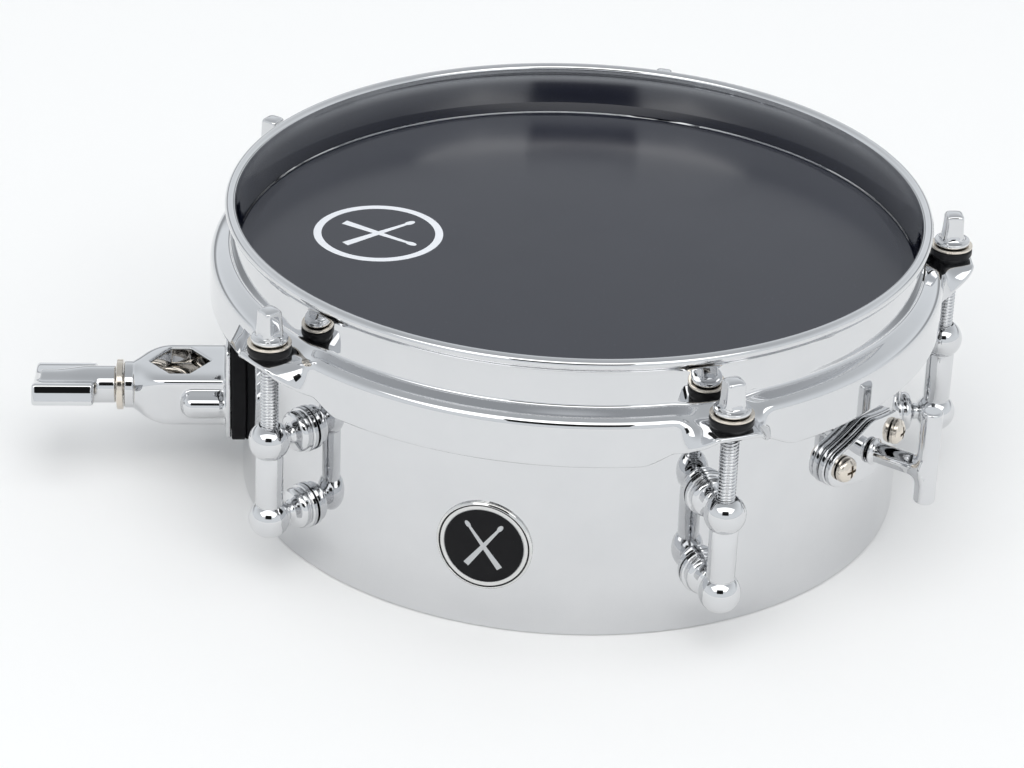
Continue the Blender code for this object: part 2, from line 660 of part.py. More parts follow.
def backing_mesh():
    """Curved plate inside the wall with a boss that carries the spindle."""
    near, far = 98.0, SHELL_INNER - GAP - 0.2
    outline = [(-19, -7), (19, -7), (19, 7), (-19, 7)]
    plate = prism("strainer_backing", outline, near, far, "X")
    boss = turned("boss", [(0, 99.0), (6.0, 99.0), (6.0, 94.0), (0, 94.0)], 16, "X")
    hole = turned("hole", [(0, 80), (2.9, 80), (2.9, 120), (0, 120)], 12, "X")
    work = bmesh.new()
    work.from_mesh(plate)
    for cut in (-14, -8, -4, 0, 4, 8, 14):
        geometry = work.verts[:] + work.edges[:] + work.faces[:]
        bmesh.ops.bisect_plane(work, geom=geometry, plane_co=(0, cut * MM, 0),
                               plane_no=(0, 1, 0), dist=1e-7)
    work.to_mesh(plate)
    work.free()
    wrapped(plate, SHELL_RADIUS)
    holes = [hole] + [radial_hole(2.1, side * screw_turn(), 0) for side in (-1, 1)]
    return combined("strainer_backing", plate,
                    [("UNION", boss), ("DIFFERENCE", joined("holes", holes))])


def angle_bracket_mesh(name, block, arm_low):
    """Upright arm with a tongue at the top that carries the end of the snares."""
    low_x, high_x, half_y, low_z, high_z = block
    foot = box(name, (low_x, -half_y, low_z), (high_x, half_y, high_z))
    arm = box("arm", (low_x, -15, arm_low), (low_x + 2, 15, 72.8))
    tongue = box("tongue", (74, -15, 70.8), (low_x + 1, 15, 72.8))
    return foot, [("UNION", arm), ("UNION", tongue)]


def slider_mesh():
    """Tapped block on the spindle with the arm that pulls the snares."""
    foot, steps = angle_bracket_mesh("snare_slider", (87, 92.5, 8, 35.5, 49), 46)
    hole = moved(turned("hole", [(0, 80), (2.9, 80), (2.9, 100), (0, 100)], 12, "X"),
                 (0, 0, STRAINER_HEIGHT))
    return combined("snare_slider", foot, steps + [("DIFFERENCE", hole)])


def butt_mesh():
    """Fixed bracket that holds the far end of the snares."""
    foot, steps = angle_bracket_mesh("snare_butt", (97.0, 99.2, 9, 54, 70), 64)
    steps[0] = ("UNION", box("arm", (96.6, -12, 64), (98.6, 12, 72.8)))
    taps = [moved(turned("tap", [(0, 90), (2.1, 90), (2.1, 110), (0, 110)], 12, "X"),
                  (0, side * 5.0, 60.0)) for side in (-1, 1)]
    return combined("snare_butt", foot, steps + [("DIFFERENCE", joined("taps", taps))])


def snare_mesh():
    """Set of snares under the head: two end plates joined by straight strands."""
    low, high = 73.1, HEAD_TOP - HEAD_FILM - GAP - 0.1
    plate = box("snare_wires", (-86, -SNARE_HALF_WIDTH, low), (86, SNARE_HALF_WIDTH, high))
    pitch = 2 * SNARE_HALF_WIDTH / WIRE_COUNT
    slots = []
    for i in range(WIRE_COUNT - 1):
        middle = -SNARE_HALF_WIDTH + pitch * (i + 1)
        slots.append(box("slot", (-73, middle - 1.4, 60), (73, middle + 1.4, 90)))
    return combined("snare_wires", plate, [("DIFFERENCE", joined("slots", slots))])


def snare_pieces(drum):
    plate_base = lozenge_plate("strainer_base", SEAT_RADIUS, 103.8, 0.3, 2.9)
    plate_top = lozenge_plate("strainer_plate", 103.8 + GAP, 106.0, 0.0, 3.4)
    height = (0, 0, STRAINER_HEIGHT)
    place("strainer_base", plate_base, "chrome", drum, height, STRAINER_ANGLE)
    place("strainer_plate", plate_top, "chrome", drum, height, STRAINER_ANGLE)
    place("strainer_backing", backing_mesh(), "steel", drum, height, STRAINER_ANGLE)
    place("t_handle", t_handle_mesh(), "chrome", drum, height, STRAINER_ANGLE)
    for number, side in enumerate((-1, 1), 1):
        screw = phillips_screw_mesh(106.0 + GAP, 96.6)
        place("strainer_screw_" + str(number), screw, "nickel", drum, height,
              STRAINER_ANGLE + side * screw_turn())
    place("snare_slider", slider_mesh(), "steel", drum, (0, 0, 0), STRAINER_ANGLE)
    place("snare_wires", snare_mesh(), "steel", drum, (0, 0, 0), STRAINER_ANGLE)
    place("snare_butt", butt_mesh(), "steel", drum, (0, 0, 0), BUTT_ANGLE)
    for number, side in enumerate((-1, 1), 1):
        screw = phillips_screw_mesh(SEAT_RADIUS + 0.1, 95.6)
        moved(screw, (0, side * 5.0, 60.0))
        place("butt_screw_" + str(number), screw, "nickel", drum, (0, 0, 0), BUTT_ANGLE)


def badge_pieces(drum):
    """Round badge bent to the wall: a bright rim round a black disc."""
    base = SEAT_RADIUS
    rim = turned("badge_rim", [(12.3, base + 1.0), (12.6, base + 1.4), (13.7, base + 1.3),
                               (BADGE_RADIUS, base + 0.8), (BADGE_RADIUS, base), (12.3, base)],
                 30, "X")
    disc = turned("badge_disc", [(0, base + 0.9), (6, base + 0.9), (12.0, base + 0.9),
                                 (12.0, base), (6, base), (0, base)], 30, "X")
    height = (0, 0, BADGE_HEIGHT)
    place("badge_rim", wrapped(rim, SHELL_RADIUS), "chrome", drum, height, BADGE_ANGLE)
    place("badge_disc", wrapped(disc, SHELL_RADIUS), "badge_black", drum, height, BADGE_ANGLE)


def main():
    clear_scene()
    drum = empty("drum_axis", (ROD_TO_DRUM_AXIS, 0, -CLAMP_HEIGHT))
    place("shell", shell_mesh(), "chrome", drum)
    place("drum_head", head_mesh(), "head_film", drum)
    place("flesh_hoop", flesh_hoop_mesh(), "aluminium", drum)
    place("counter_hoop", hoop_mesh(), "chrome", drum)
    fittings_round_the_drum(drum)
    clamp_pieces()
    snare_pieces(drum)
    badge_pieces(drum)


main()
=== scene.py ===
"""Looks of a small chrome side drum with its rod clamp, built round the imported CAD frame.

Shapes are worked out in millimetres and turned to metres when their mesh is made. A fitting on
the drum is made in its own radial frame: x runs out from the drum's axis, y sideways and z up
from the shell's bottom edge. Clamp pieces are made in the row frame, about the rod's axis.
"""

import bmesh
import bpy
import numpy as np
from mathutils import Matrix, Vector


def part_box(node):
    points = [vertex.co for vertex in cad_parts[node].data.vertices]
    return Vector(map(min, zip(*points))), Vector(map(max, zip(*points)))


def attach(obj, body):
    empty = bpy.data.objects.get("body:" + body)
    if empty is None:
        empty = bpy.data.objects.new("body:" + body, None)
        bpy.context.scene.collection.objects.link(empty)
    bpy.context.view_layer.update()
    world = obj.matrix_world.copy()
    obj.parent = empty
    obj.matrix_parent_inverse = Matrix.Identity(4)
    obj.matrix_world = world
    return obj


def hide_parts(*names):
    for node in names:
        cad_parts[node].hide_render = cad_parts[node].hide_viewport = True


MM = 0.001
PLUS_X, PLUS_Z = (2, 0, 1), (0, 1, 2)       # where a turned profile's axis ends up

LUG_ANGLES = (0.0, 72.0, 144.0, 216.0, 288.0)
ROD_CIRCLE = 114.7
UPPER_BALL, LOWER_BALL, BALL_RADIUS = 45.2, 19.5, 6.1
SHELL_RADIUS = 101.6
SEAT_RADIUS = 101.68
HEAD_TOP = 76.0
COLLAR_RADIUS, COLLAR_FOOT, HOOP_GAUGE = 105.0, 77.9, 1.6
STRAINER_ANGLE, STRAINER_HEIGHT = 322.0, 41.5
STRAINER_SCREW_OFFSET = 14.1
BADGE_ANGLE, BADGE_HEIGHT = 252.0, 27.6
CLAMP_SCREW_OFFSET = 13.0
THREAD_PITCH = 1.058
WING_REST_TURN = -13                        # degrees about the bolt, as the nut was left
MARK_PLACE, MARK_SIZE = (-60.3, 8.0), 14.2  # the printed mark on the film, from its centre
CLOUD_CONTRAST = 1.6
FLOOR_REACH = 4000
PANEL_GAIN, WALL_LOW, WALL_HIGH, DUSK_DEPTH = 1.7, 0.90, 0.56, 0.55


# ------------------------------------------------------------------------------ mesh helpers

def skin(points, quads, smooth_angle=None):
    """Mesh in metres from points (k, 3) in millimetres and quads (q, 4).

    Points that coincide, as at a pole, become one, and faces are turned outwards.
    """
    mesh = bpy.data.meshes.new("surface")
    mesh.from_pydata(points * MM, [], quads.tolist())
    work = bmesh.new()
    work.from_mesh(mesh)
    bmesh.ops.remove_doubles(work, verts=work.verts, dist=2e-7)
    bmesh.ops.recalc_face_normals(work, faces=work.faces)
    work.to_mesh(mesh)
    work.free()
    shade(mesh, smooth_angle)
    return mesh


def shade(mesh, smooth_angle=None):
    """Smooth shading, broken only where faces meet at more than the given degrees."""
    mesh.shade_smooth()
    if smooth_angle:
        mesh.set_sharp_from_angle(angle=np.radians(smooth_angle))


def surface(points, around=True, along=False, smooth_angle=None):
    """Skin over a grid of points (rows, columns, 3), closed across columns, rows or both."""
    rows, columns = points.shape[:2]
    index = np.arange(rows * columns).reshape(rows, columns)
    if along:
        index = np.vstack((index, index[:1]))
    if around:
        index = np.hstack((index, index[:, :1]))
    quads = np.stack((index[:-1, :-1], index[:-1, 1:], index[1:, 1:], index[1:, :-1]), -1)
    return skin(points.reshape(-1, 3), quads.reshape(-1, 4), smooth_angle)


def eased(corners, radius, closed=False, steps=5):
    """Path (k, 2) through corners, each rounded by a parabola tangent to both its sides.

    A corner at P with sides a and b becomes P - a*reach*(1-s)^2 + b*reach*s^2, s from 0 to 1,
    where reach is radius*tan(half the turn). A point just outside each end keeps flats flat.
    """
    corners = np.asarray(corners, float)
    side_in = corners - np.roll(corners, 1, 0)
    side_out = np.roll(side_in, -1, 0)
    long_in, long_out = np.linalg.norm(side_in, axis=1), np.linalg.norm(side_out, axis=1)
    side_in, side_out = side_in / long_in[:, None], side_out / long_out[:, None]
    turn = np.arccos(np.clip((side_in * side_out).sum(1), -1, 1))
    shorter = np.minimum(long_in, long_out)
    reach = np.minimum(np.broadcast_to(radius, len(corners)) * np.tan(turn / 2), 0.45 * shorter)
    extra = np.minimum(0.2 * reach + 0.03, 0.04 * shorter)
    s = np.linspace(0, 1, steps + 1)
    back = np.concatenate(((reach + extra)[:, None], reach[:, None] * (1 - s) ** 2,
                           np.zeros((len(corners), 1))), 1)
    ahead = np.concatenate((np.zeros((len(corners), 1)), reach[:, None] * s ** 2,
                            (reach + extra)[:, None]), 1)
    path = (corners[:, None] - side_in[:, None] * back[..., None]
            + side_out[:, None] * ahead[..., None])
    if closed:
        return path.reshape(-1, 2)
    return np.vstack((corners[:1], path[1:-1].reshape(-1, 2), corners[-1:]))


def lathe(path, steps=64, axis=PLUS_Z):
    """Grid of the path (r, height) swept round an axis: (r cos t, r sin t, height)."""
    turn = np.linspace(0, 2 * np.pi, steps, endpoint=False)
    r, height = path[:, :1], path[:, 1:]
    points = np.stack((r * np.cos(turn), r * np.sin(turn), height + 0 * turn), -1)
    return points[..., list(axis)]


def turned(corners, radius, steps=64, axis=PLUS_Z, closed=False):
    """Solid of revolution with eased corners; closed makes a ring, else both ends are poles."""
    path = eased(corners, radius, closed)
    return surface(lathe(path, steps, axis), True, closed)


def carved(mesh, *steps, smooth_angle=32):
    """The mesh after Boolean steps, pairs of an operation and a mesh."""
    body = bpy.data.objects.new("carved", mesh)
    bpy.context.collection.objects.link(body)
    tools = []
    for operation, other in steps:
        tool = bpy.data.objects.new("tool", other)
        bpy.context.collection.objects.link(tool)
        modifier = body.modifiers.new("step", "BOOLEAN")
        modifier.operation, modifier.solver, modifier.object = operation, "EXACT", tool
        tools.append(tool)
    graph = bpy.context.evaluated_depsgraph_get()
    made = bpy.data.meshes.new_from_object(body.evaluated_get(graph))
    for used in tools + [body]:
        bpy.data.objects.remove(used, do_unlink=True)
    shade(made, smooth_angle)
    return made


def shifted(mesh, offset=(0, 0, 0), turn=0.0, axis="Z"):
    """A copy of the mesh turned by degrees about an axis, then moved by millimetres."""
    made = mesh.copy()
    move = Matrix.Translation(Vector(offset) * MM)
    made.transform(move @ Matrix.Rotation(np.radians(turn), 4, axis))
    return made


def prism(outline, low, high):
    """Straight block of a closed outline (k, 2) from one height to another, with flat ends."""
    outline = np.asarray(outline, float)
    heights = np.array((low, low, high, high))
    scale = np.array((0, 1, 1, 0))
    middle = outline.mean(0)
    flat = middle + (outline - middle) * scale[:, None, None]
    points = np.concatenate((flat, np.broadcast_to(heights[:, None, None], flat.shape[:2] + (1,))),
                            -1)
    return surface(points, True, False, 32)


# ------------------------------------------------------------------------- cast shapes (fields)

def smooth(t):
    """Step 3t^2 - 2t^3 from 0 to 1, level at both ends."""
    t = np.clip(t, 0, 1)
    return t * t * (3 - 2 * t)


def melted(a, b, k):
    """Union of two fields with a fillet of about k: min(a, b) - max(k - |a - b|, 0)^2 / 4k."""
    return np.minimum(a, b) - np.maximum(k - np.abs(a - b), 0) ** 2 / (4 * k)


def cut(a, b, k):
    """Field a without field b, its new edges rounded by about k."""
    return -melted(-a, b, k)


def eased_max(a, b, edge):
    """Overlap of two fields whose common edge is rounded to the radius `edge`."""
    a, b = a + edge, b + edge
    return (np.minimum(np.maximum(a, b), 0) + np.hypot(np.maximum(a, 0), np.maximum(b, 0))
            - edge)


def between(value, low, high):
    """Field of the slab from low to high."""
    return np.maximum(low - value, value - high)


def cast(field, low, high, cell):
    """Mesh of the surface where field(points) is zero, inside a box.

    The field is sampled on a lattice. Each cell that the surface crosses gets one point, the
    mean of its edge crossings, and each crossed lattice edge gets a quad between its four cells.
    The points are then spread evenly and moved along the field's gradient until they lie on it.
    """
    low = np.asarray(low, float)
    count = np.ceil((np.asarray(high) - low) / cell).astype(int) + 1
    axes = [low[i] + cell * np.arange(count[i]) for i in range(3)]
    values = np.concatenate([field(np.stack(np.meshgrid(part, *axes[1:], indexing="ij"), -1))
                             for part in np.array_split(axes[0], max(1, count[0] // 24))])
    inside = values < 0
    cells = count - 1
    total, hits, quads = np.zeros((cells.prod(), 3)), np.zeros(cells.prod()), []
    for axis in range(3):
        ahead = np.roll(inside, -1, axis)
        ahead[(slice(None),) * axis + (-1,)] = inside[(slice(None),) * axis + (-1,)]
        start = np.argwhere(inside != ahead)
        step = np.eye(3, dtype=int)[axis]
        here, there = values[tuple(start.T)], values[tuple((start + step).T)]
        crossing = low + cell * (start + step * (here / (here - there))[:, None])
        u, v = np.eye(3, dtype=int)[(axis + 1) % 3], np.eye(3, dtype=int)[(axis + 2) % 3]
        corners = [np.ravel_multi_index(tuple((start - a * u - b * v).T), cells)
                   for a, b in ((0, 0), (1, 0), (1, 1), (0, 1))]
        for corner in corners:
            hits += np.bincount(corner, minlength=len(hits))
            for i in range(3):
                total[:, i] += np.bincount(corner, crossing[:, i], len(hits))
        quads.append(np.stack(corners, 1))
    quads = np.vstack(quads)
    used, quads = np.unique(quads, return_inverse=True)
    quads = quads.reshape(-1, 4)
    points = total[used] / hits[used, None]
    edges = np.vstack([quads[:, [i, (i + 1) % 4]] for i in range(4)])
    share = np.bincount(edges[:, 0], minlength=len(points))
    for _ in range(4):
        mean = np.stack([np.bincount(edges[:, 0], points[edges[:, 1], i], len(points))
                         for i in range(3)], 1) / share[:, None]
        points = settled(field, points + 0.5 * (mean - points), cell)
    return skin(points, quads)


def settled(field, points, cell):
    """Points moved twice by -field * gradient / |gradient|^2, never by more than half a cell."""
    for _ in range(2):
        h = 0.01
        slope = np.stack([(field(points + h * unit) - field(points - h * unit)) / (2 * h)
                          for unit in np.eye(3)], -1)
        move = -field(points)[:, None] * slope / np.maximum((slope ** 2).sum(1), 0.05)[:, None]
        far = np.maximum(np.linalg.norm(move, axis=1) / (0.5 * cell), 1)
        points = points + move / far[:, None]
    return points


# ----------------------------------------------------------------------------------- finishes

def group(name, outputs, inputs):
    """Empty node group; inputs are (name, default number or vector), outputs (name, kind)."""
    made = bpy.data.node_groups.new(name, "ShaderNodeTree")
    for label, default in inputs:
        kind = "NodeSocketVector" if isinstance(default, tuple) else "NodeSocketFloat"
        socket = made.interface.new_socket(label, in_out="INPUT", socket_type=kind)
        socket.default_value = default
    for label, kind in outputs:
        made.interface.new_socket(label, in_out="OUTPUT", socket_type="NodeSocket" + kind)
    return made, made.nodes.new("NodeGroupInput"), made.nodes.new("NodeGroupOutput")


def math_node(tree, operation, *values, clamp=False):
    """Math node whose inputs are sockets or numbers; returns its output."""
    node = tree.nodes.new("ShaderNodeMath")
    node.operation, node.use_clamp = operation, clamp
    for socket, value in zip(node.inputs, values):
        if isinstance(value, bpy.types.NodeSocket):
            tree.links.new(value, socket)
        else:
            socket.default_value = value
    return node.outputs[0]


def noise(tree, vector, scale, detail, roughness):
    """Noise over a vector socket; the scale is a socket or a number."""
    node = tree.nodes.new("ShaderNodeTexNoise")
    tree.links.new(vector, node.inputs["Vector"])
    if isinstance(scale, bpy.types.NodeSocket):
        tree.links.new(scale, node.inputs["Scale"])
    else:
        node.inputs["Scale"].default_value = scale
    node.inputs["Detail"].default_value = detail
    node.inputs["Roughness"].default_value = roughness
    return node.outputs["Fac"]


def handling_group():
    """Marks of handling: broad smudges, fine wipe streaks and dust, as roughness and height."""
    tree, given, out = group("handling", (("Roughness", "Float"), ("Height", "Float"),
                                          ("Dust", "Float")),
                             (("Base roughness", 0.06), ("Smudge", 0.05), ("Dust", 0.1)))
    place = tree.nodes.new("ShaderNodeTexCoord").outputs["Object"]
    broad = noise(tree, place, 38.0, 4.0, 0.55)
    patches = math_node(tree, "MULTIPLY_ADD", broad, 3.2, -1.35, clamp=True)
    stretch = tree.nodes.new("ShaderNodeMapping")
    stretch.inputs["Scale"].default_value = (1.0, 1.0, 9.0)
    tree.links.new(place, stretch.inputs["Vector"])
    streaks = noise(tree, stretch.outputs[0], 160.0, 2.0, 0.6)
    marks = math_node(tree, "MULTIPLY", patches, streaks)
    added = math_node(tree, "MULTIPLY", marks, given.outputs["Smudge"])
    rough = math_node(tree, "ADD", added, given.outputs["Base roughness"])
    specks = tree.nodes.new("ShaderNodeTexVoronoi")
    specks.inputs["Scale"].default_value = 420.0
    tree.links.new(place, specks.inputs["Vector"])
    near = math_node(tree, "LESS_THAN", specks.outputs["Distance"], 0.055)
    dust = math_node(tree, "MULTIPLY", near, given.outputs["Dust"])
    grain = noise(tree, place, 900.0, 2.0, 0.5)
    tree.links.new(math_node(tree, "ADD", rough, dust), out.inputs["Roughness"])
    tree.links.new(grain, out.inputs["Height"])
    tree.links.new(dust, out.inputs["Dust"])
    return tree


def tone_group():
    """Two close tones mixed by slow cloudiness, for plating, film and moulded black."""
    tree, given, out = group("tone", (("Mask", "Float"),),
                             (("Scale", 60.0), ("Contrast", CLOUD_CONTRAST)))
    place = tree.nodes.new("ShaderNodeTexCoord").outputs["Object"]
    cloud = noise(tree, place, given.outputs["Scale"], 4.0, 0.6)
    centred = math_node(tree, "SUBTRACT", cloud, 0.5)
    spread = math_node(tree, "MULTIPLY", centred, given.outputs["Contrast"])
    tree.links.new(math_node(tree, "ADD", spread, 0.5, clamp=True), out.inputs["Mask"])
    return tree


def emblem_group():
    """Flat mark round a centre: distance from it in millimetres, and two crossed sticks.

    A stick is a slim bar that tapers towards an oval tip, both tested in its own turned axes.
    """
    tree, given, out = group("emblem", (("Radius", "Float"), ("Sticks", "Float")),
                             (("Centre", (0.0, 0.0, 0.0)), ("Across", (1.0, 0.0, 0.0)),
                              ("Up", (0.0, 0.0, 1.0)), ("Size", 10.0)))
    away = tree.nodes.new("ShaderNodeVectorMath")
    away.operation = "SUBTRACT"
    tree.links.new(tree.nodes.new("ShaderNodeTexCoord").outputs["Object"], away.inputs[0])
    tree.links.new(given.outputs["Centre"], away.inputs[1])
    flat = []
    for axis in ("Across", "Up"):
        part = tree.nodes.new("ShaderNodeVectorMath")
        part.operation = "DOT_PRODUCT"
        tree.links.new(away.outputs[0], part.inputs[0])
        tree.links.new(given.outputs[axis], part.inputs[1])
        flat.append(math_node(tree, "MULTIPLY", part.outputs["Value"], 1 / MM))
    squares = [math_node(tree, "MULTIPLY", part, part) for part in flat]
    tree.links.new(math_node(tree, "SQRT", math_node(tree, "ADD", *squares)),
                   out.inputs["Radius"])
    x, y = [math_node(tree, "DIVIDE", part, given.outputs["Size"]) for part in flat]
    shapes = []
    for lean in (-0.64, 0.64):
        u = math_node(tree, "ADD", math_node(tree, "MULTIPLY", x, np.sin(lean)),
                      math_node(tree, "MULTIPLY", y, np.cos(lean)))
        v = math_node(tree, "ABSOLUTE",
                      math_node(tree, "SUBTRACT", math_node(tree, "MULTIPLY", x, np.cos(lean)),
                                math_node(tree, "MULTIPLY", y, np.sin(lean))))
        width = math_node(tree, "MULTIPLY_ADD", u, -0.032, 0.068)
        bar = math_node(tree, "MULTIPLY", math_node(tree, "LESS_THAN", v, width),
                        math_node(tree, "LESS_THAN", math_node(tree, "ABSOLUTE", math_node(
                            tree, "ADD", u, 0.06)), 0.84))
        reach = math_node(tree, "DIVIDE", math_node(tree, "SUBTRACT", u, 0.86), 0.13)
        side = math_node(tree, "DIVIDE", v, 0.075)
        tip = math_node(tree, "LESS_THAN", math_node(
            tree, "ADD", math_node(tree, "MULTIPLY", reach, reach),
            math_node(tree, "MULTIPLY", side, side)), 1.0)
        shapes.append(math_node(tree, "MAXIMUM", bar, tip))
    tree.links.new(math_node(tree, "MAXIMUM", *shapes), out.inputs["Sticks"])
    return tree


def set_group(tree, kind, **values):
    """Node of a shared group with its own values, underscores standing for spaces."""
    node = tree.nodes.new("ShaderNodeGroup")
    node.node_tree = kind
    for label, value in values.items():
        node.inputs[label.replace("_", " ")].default_value = value
    return node


def mixed(tree, factor, first, second):
    """Colour mix of two colours or sockets by a factor socket."""
    node = tree.nodes.new("ShaderNodeMix")
    node.data_type = "RGBA"
    tree.links.new(factor, node.inputs["Factor"])
    for socket, value in ((node.inputs[6], first), (node.inputs[7], second)):
        if isinstance(value, bpy.types.NodeSocket):
            tree.links.new(value, socket)
        else:
            socket.default_value = tuple(value) + (1,)
    return node.outputs[2]


def ring_mask(tree, radius, low, high):
    """Mask of the distances between two limits."""
    return math_node(tree, "MULTIPLY", math_node(tree, "GREATER_THAN", radius, low),
                     math_node(tree, "LESS_THAN", radius, high))


def print_and_painted_shade(material, ink_and_shade_colour, centre, across, up, size, low, high, sticks=True, metal=None):
    """Adds a mark to a finish: a ring between two radii, and crossed sticks inside it. It draws
    print, and also painted shade: the dark band in the badge rim's groove.
    """
    tree = material.node_tree
    shader = tree.nodes["Principled BSDF"]
    mark = set_group(tree, EMBLEM, Centre=centre, Across=across, Up=up, Size=size)
    mask = ring_mask(tree, mark.outputs["Radius"], low, high)
    if sticks:
        inside = math_node(tree, "LESS_THAN", mark.outputs["Radius"], low)
        mask = math_node(tree, "MAXIMUM", mask,
                         math_node(tree, "MULTIPLY", inside, mark.outputs["Sticks"]))
    under = shader.inputs["Base Color"].links[0].from_socket
    tree.links.new(mixed(tree, mask, under, ink_and_shade_colour), shader.inputs["Base Color"])
    if metal is not None:
        change = metal - shader.inputs["Metallic"].default_value
        tree.links.new(math_node(tree, "MULTIPLY_ADD", mask, change,
                                 shader.inputs["Metallic"].default_value),
                       shader.inputs["Metallic"])


def finish(name, light, dark, rough, smudge, dust, metallic, bump, scale=60.0, specular=0.5):
    """Principled material: two tones, handling marks in its roughness and a fine bump."""
    made = bpy.data.materials.new(name)
    made.use_nodes = True
    tree = made.node_tree
    shader = tree.nodes["Principled BSDF"]
    shader.inputs["Metallic"].default_value = metallic
    shader.inputs["Specular IOR Level"].default_value = specular
    tone = set_group(tree, TONE, Scale=scale, Contrast=CLOUD_CONTRAST)
    marks = set_group(tree, HANDLING, Base_roughness=rough, Smudge=smudge, Dust=dust)
    tree.links.new(mixed(tree, tone.outputs["Mask"], dark, light), shader.inputs["Base Color"])
    tree.links.new(marks.outputs["Roughness"], shader.inputs["Roughness"])
    relief = tree.nodes.new("ShaderNodeBump")
    relief.inputs["Strength"].default_value = bump
    relief.inputs["Distance"].default_value = 0.00002
    tree.links.new(marks.outputs["Height"], relief.inputs["Height"])
    tree.links.new(relief.outputs["Normal"], shader.inputs["Normal"])
    return made


# ------------------------------------------------------------------------------ drum's own pieces

def shell_mesh():
    """Ring swept round the drum: wall with its bearing edge turned in and its foot rolled in."""
    corners = [(97.7, 75.25), (99.7, 75.2), (SHELL_RADIUS, 73.0), (SHELL_RADIUS, 0.0), (98.0, 0.0),
               (98.0, 2.4), (100.4, 3.4), (100.4, 72.0), (98.9, 74.0), (97.7, 74.1)]
    radius = [0.5, 2.4, 3.0, 0.9, 0.8, 0.8, 1.5, 2.0, 1.5, 0.4]
    return surface(lathe(eased(corners, radius, True, 7), 288), True, True)


def head_mesh():
    """Film, level inside and falling in a shallow collar from the bearing edge outwards."""
    corners = [(0, HEAD_TOP), (50, HEAD_TOP), (98.5, HEAD_TOP), (102.6, 75.3), (104.6, 74.2),
               (105.0, 73.8), (104.5, 73.7), (102.5, 74.9), (98.4, 75.55), (50, 75.6), (0, 75.6)]
    return surface(lathe(eased(corners, [0, 0, 1.2, 1.5, 0.3, 0.1, 0.1, 1.5, 1.2, 0, 0]), 288))


def flesh_hoop_mesh():
    """Channel ring with softened corners that grips the film's edge."""
    corners = [(102.9, 73.6), (105.2, 73.6), (105.2, 69.2), (102.9, 69.2)]
    return surface(lathe(eased(corners, 0.5, True), 240), True, True)


def hoop_mesh():
    """Pressed hoop: bead, collar and a flange whose slope changes round the drum.

    At angle t the flange leaves the collar's foot and its slope runs from the vertical to a
    shallow ledge that falls into a straight skirt, or to a short fall and a level ear. The two
    slopes are mixed by a smooth step of the distance from the nearest ear, and the line is the
    running sum of its steps. The underside is the same line one gauge away along its normal.
    Beside each ear the line is shorter, by the difference of two smooth steps. The bead is an
    arc whose foot meets the collar in a parabola.
    """
    columns = 720
    turn = np.arange(columns) * 360 / columns
    away = np.radians(np.abs((turn + 36) % 72 - 36)) * ROD_CIRCLE
    skirt = smooth((away - 5.6) / (16.0 - 5.6))[:, None]
    short = (smooth((away - 5.6) / 6.0) * (1 - smooth((away - 12.0) / 13.0)))[:, None]
    run = np.linspace(0, 1, 47)[None]
    length = 17.75 + (20.0 - 17.75) * skirt - 4.2 * short
    gone = length * run
    ear = 32 * (1 - smooth((gone - 5.4) / 2.8))
    ledge = 18 + 72 * smooth((gone - 4.1) / 5.8)
    slope = ear + (ledge - ear) * skirt
    turn_in = smooth((gone - 0.8 * (1 - skirt)) / 1.8)
    slope = np.radians(slope + (90 - slope) * (1 - turn_in))
    step = length / (run.shape[1] - 1)
    middle = (slope[:, 1:] + slope[:, :-1]) / 2
    zero = np.zeros((columns, 1))
    r = COLLAR_RADIUS + np.concatenate((zero, np.cumsum(step * np.cos(middle), 1)), 1)
    z = COLLAR_FOOT - np.concatenate((zero, np.cumsum(step * np.sin(middle), 1)), 1)
    under_r, under_z = r - HOOP_GAUGE * np.sin(slope), z - HOOP_GAUGE * np.cos(slope)
    lip = np.radians(np.linspace(0, 180, 9)[1:-1])[None]
    last = slope[:, -1:]
    centre_r, centre_z = (r[:, -1:] + under_r[:, -1:]) / 2, (z[:, -1:] + under_z[:, -1:]) / 2
    half = HOOP_GAUGE / 2
    lip_r = centre_r + half * (np.cos(lip) * np.sin(last) + np.sin(lip) * np.cos(last))
    lip_z = centre_z + half * (np.cos(lip) * np.cos(last) - np.sin(lip) * np.sin(last))
    bead = np.radians(np.linspace(166, -62, 28))
    bead_r, bead_z = 105.05 + 1.7 * np.cos(bead), 90.1 + 1.7 * np.sin(bead)
    share = np.linspace(0, 1, 6)[1:]
    foot_r = COLLAR_RADIUS + (bead_r[-1] - COLLAR_RADIUS) * (1 - share) ** 2
    top_r = np.concatenate((bead_r, foot_r, (COLLAR_RADIUS,)))
    top_z = np.concatenate((bead_z, bead_z[-1] - 0.8 * share - 1.2 * share ** 2, (78.6,)))
    wide = np.ones((columns, 1))
    lean = np.radians(np.linspace(0, 13, 7))
    inner_r = np.concatenate(((103.4, 103.3, 103.1, 102.94, 102.88),
                              102.88 + 20 * (1 - np.cos(lean))))
    inner_z = np.concatenate(((75.85, 75.65, 75.58, 75.68, 75.9), 85.3 + 20 * np.sin(lean)))
    section_r = np.hstack((wide * top_r, r, lip_r, under_r[:, ::-1], wide * inner_r))
    section_z = np.hstack((wide * top_z, z, lip_z, under_z[:, ::-1], wide * inner_z))
    across = np.radians(turn)[:, None]
    points = np.stack((section_r * np.cos(across), section_r * np.sin(across), section_z), -1)
    ring = surface(points, True, True)
    hole = prism(circle(5.0, 48), 66, 80)
    holes = [("DIFFERENCE", shifted(hole, radial(ROD_CIRCLE, angle))) for angle in LUG_ANGLES]
    return carved(ring, *holes, smooth_angle=50)


def circle(radius, count):
    """Outline of evenly spaced points (r cos t, r sin t)."""
    turn = np.linspace(0, 2 * np.pi, count, endpoint=False)
    return np.stack((radius * np.cos(turn), radius * np.sin(turn)), -1)


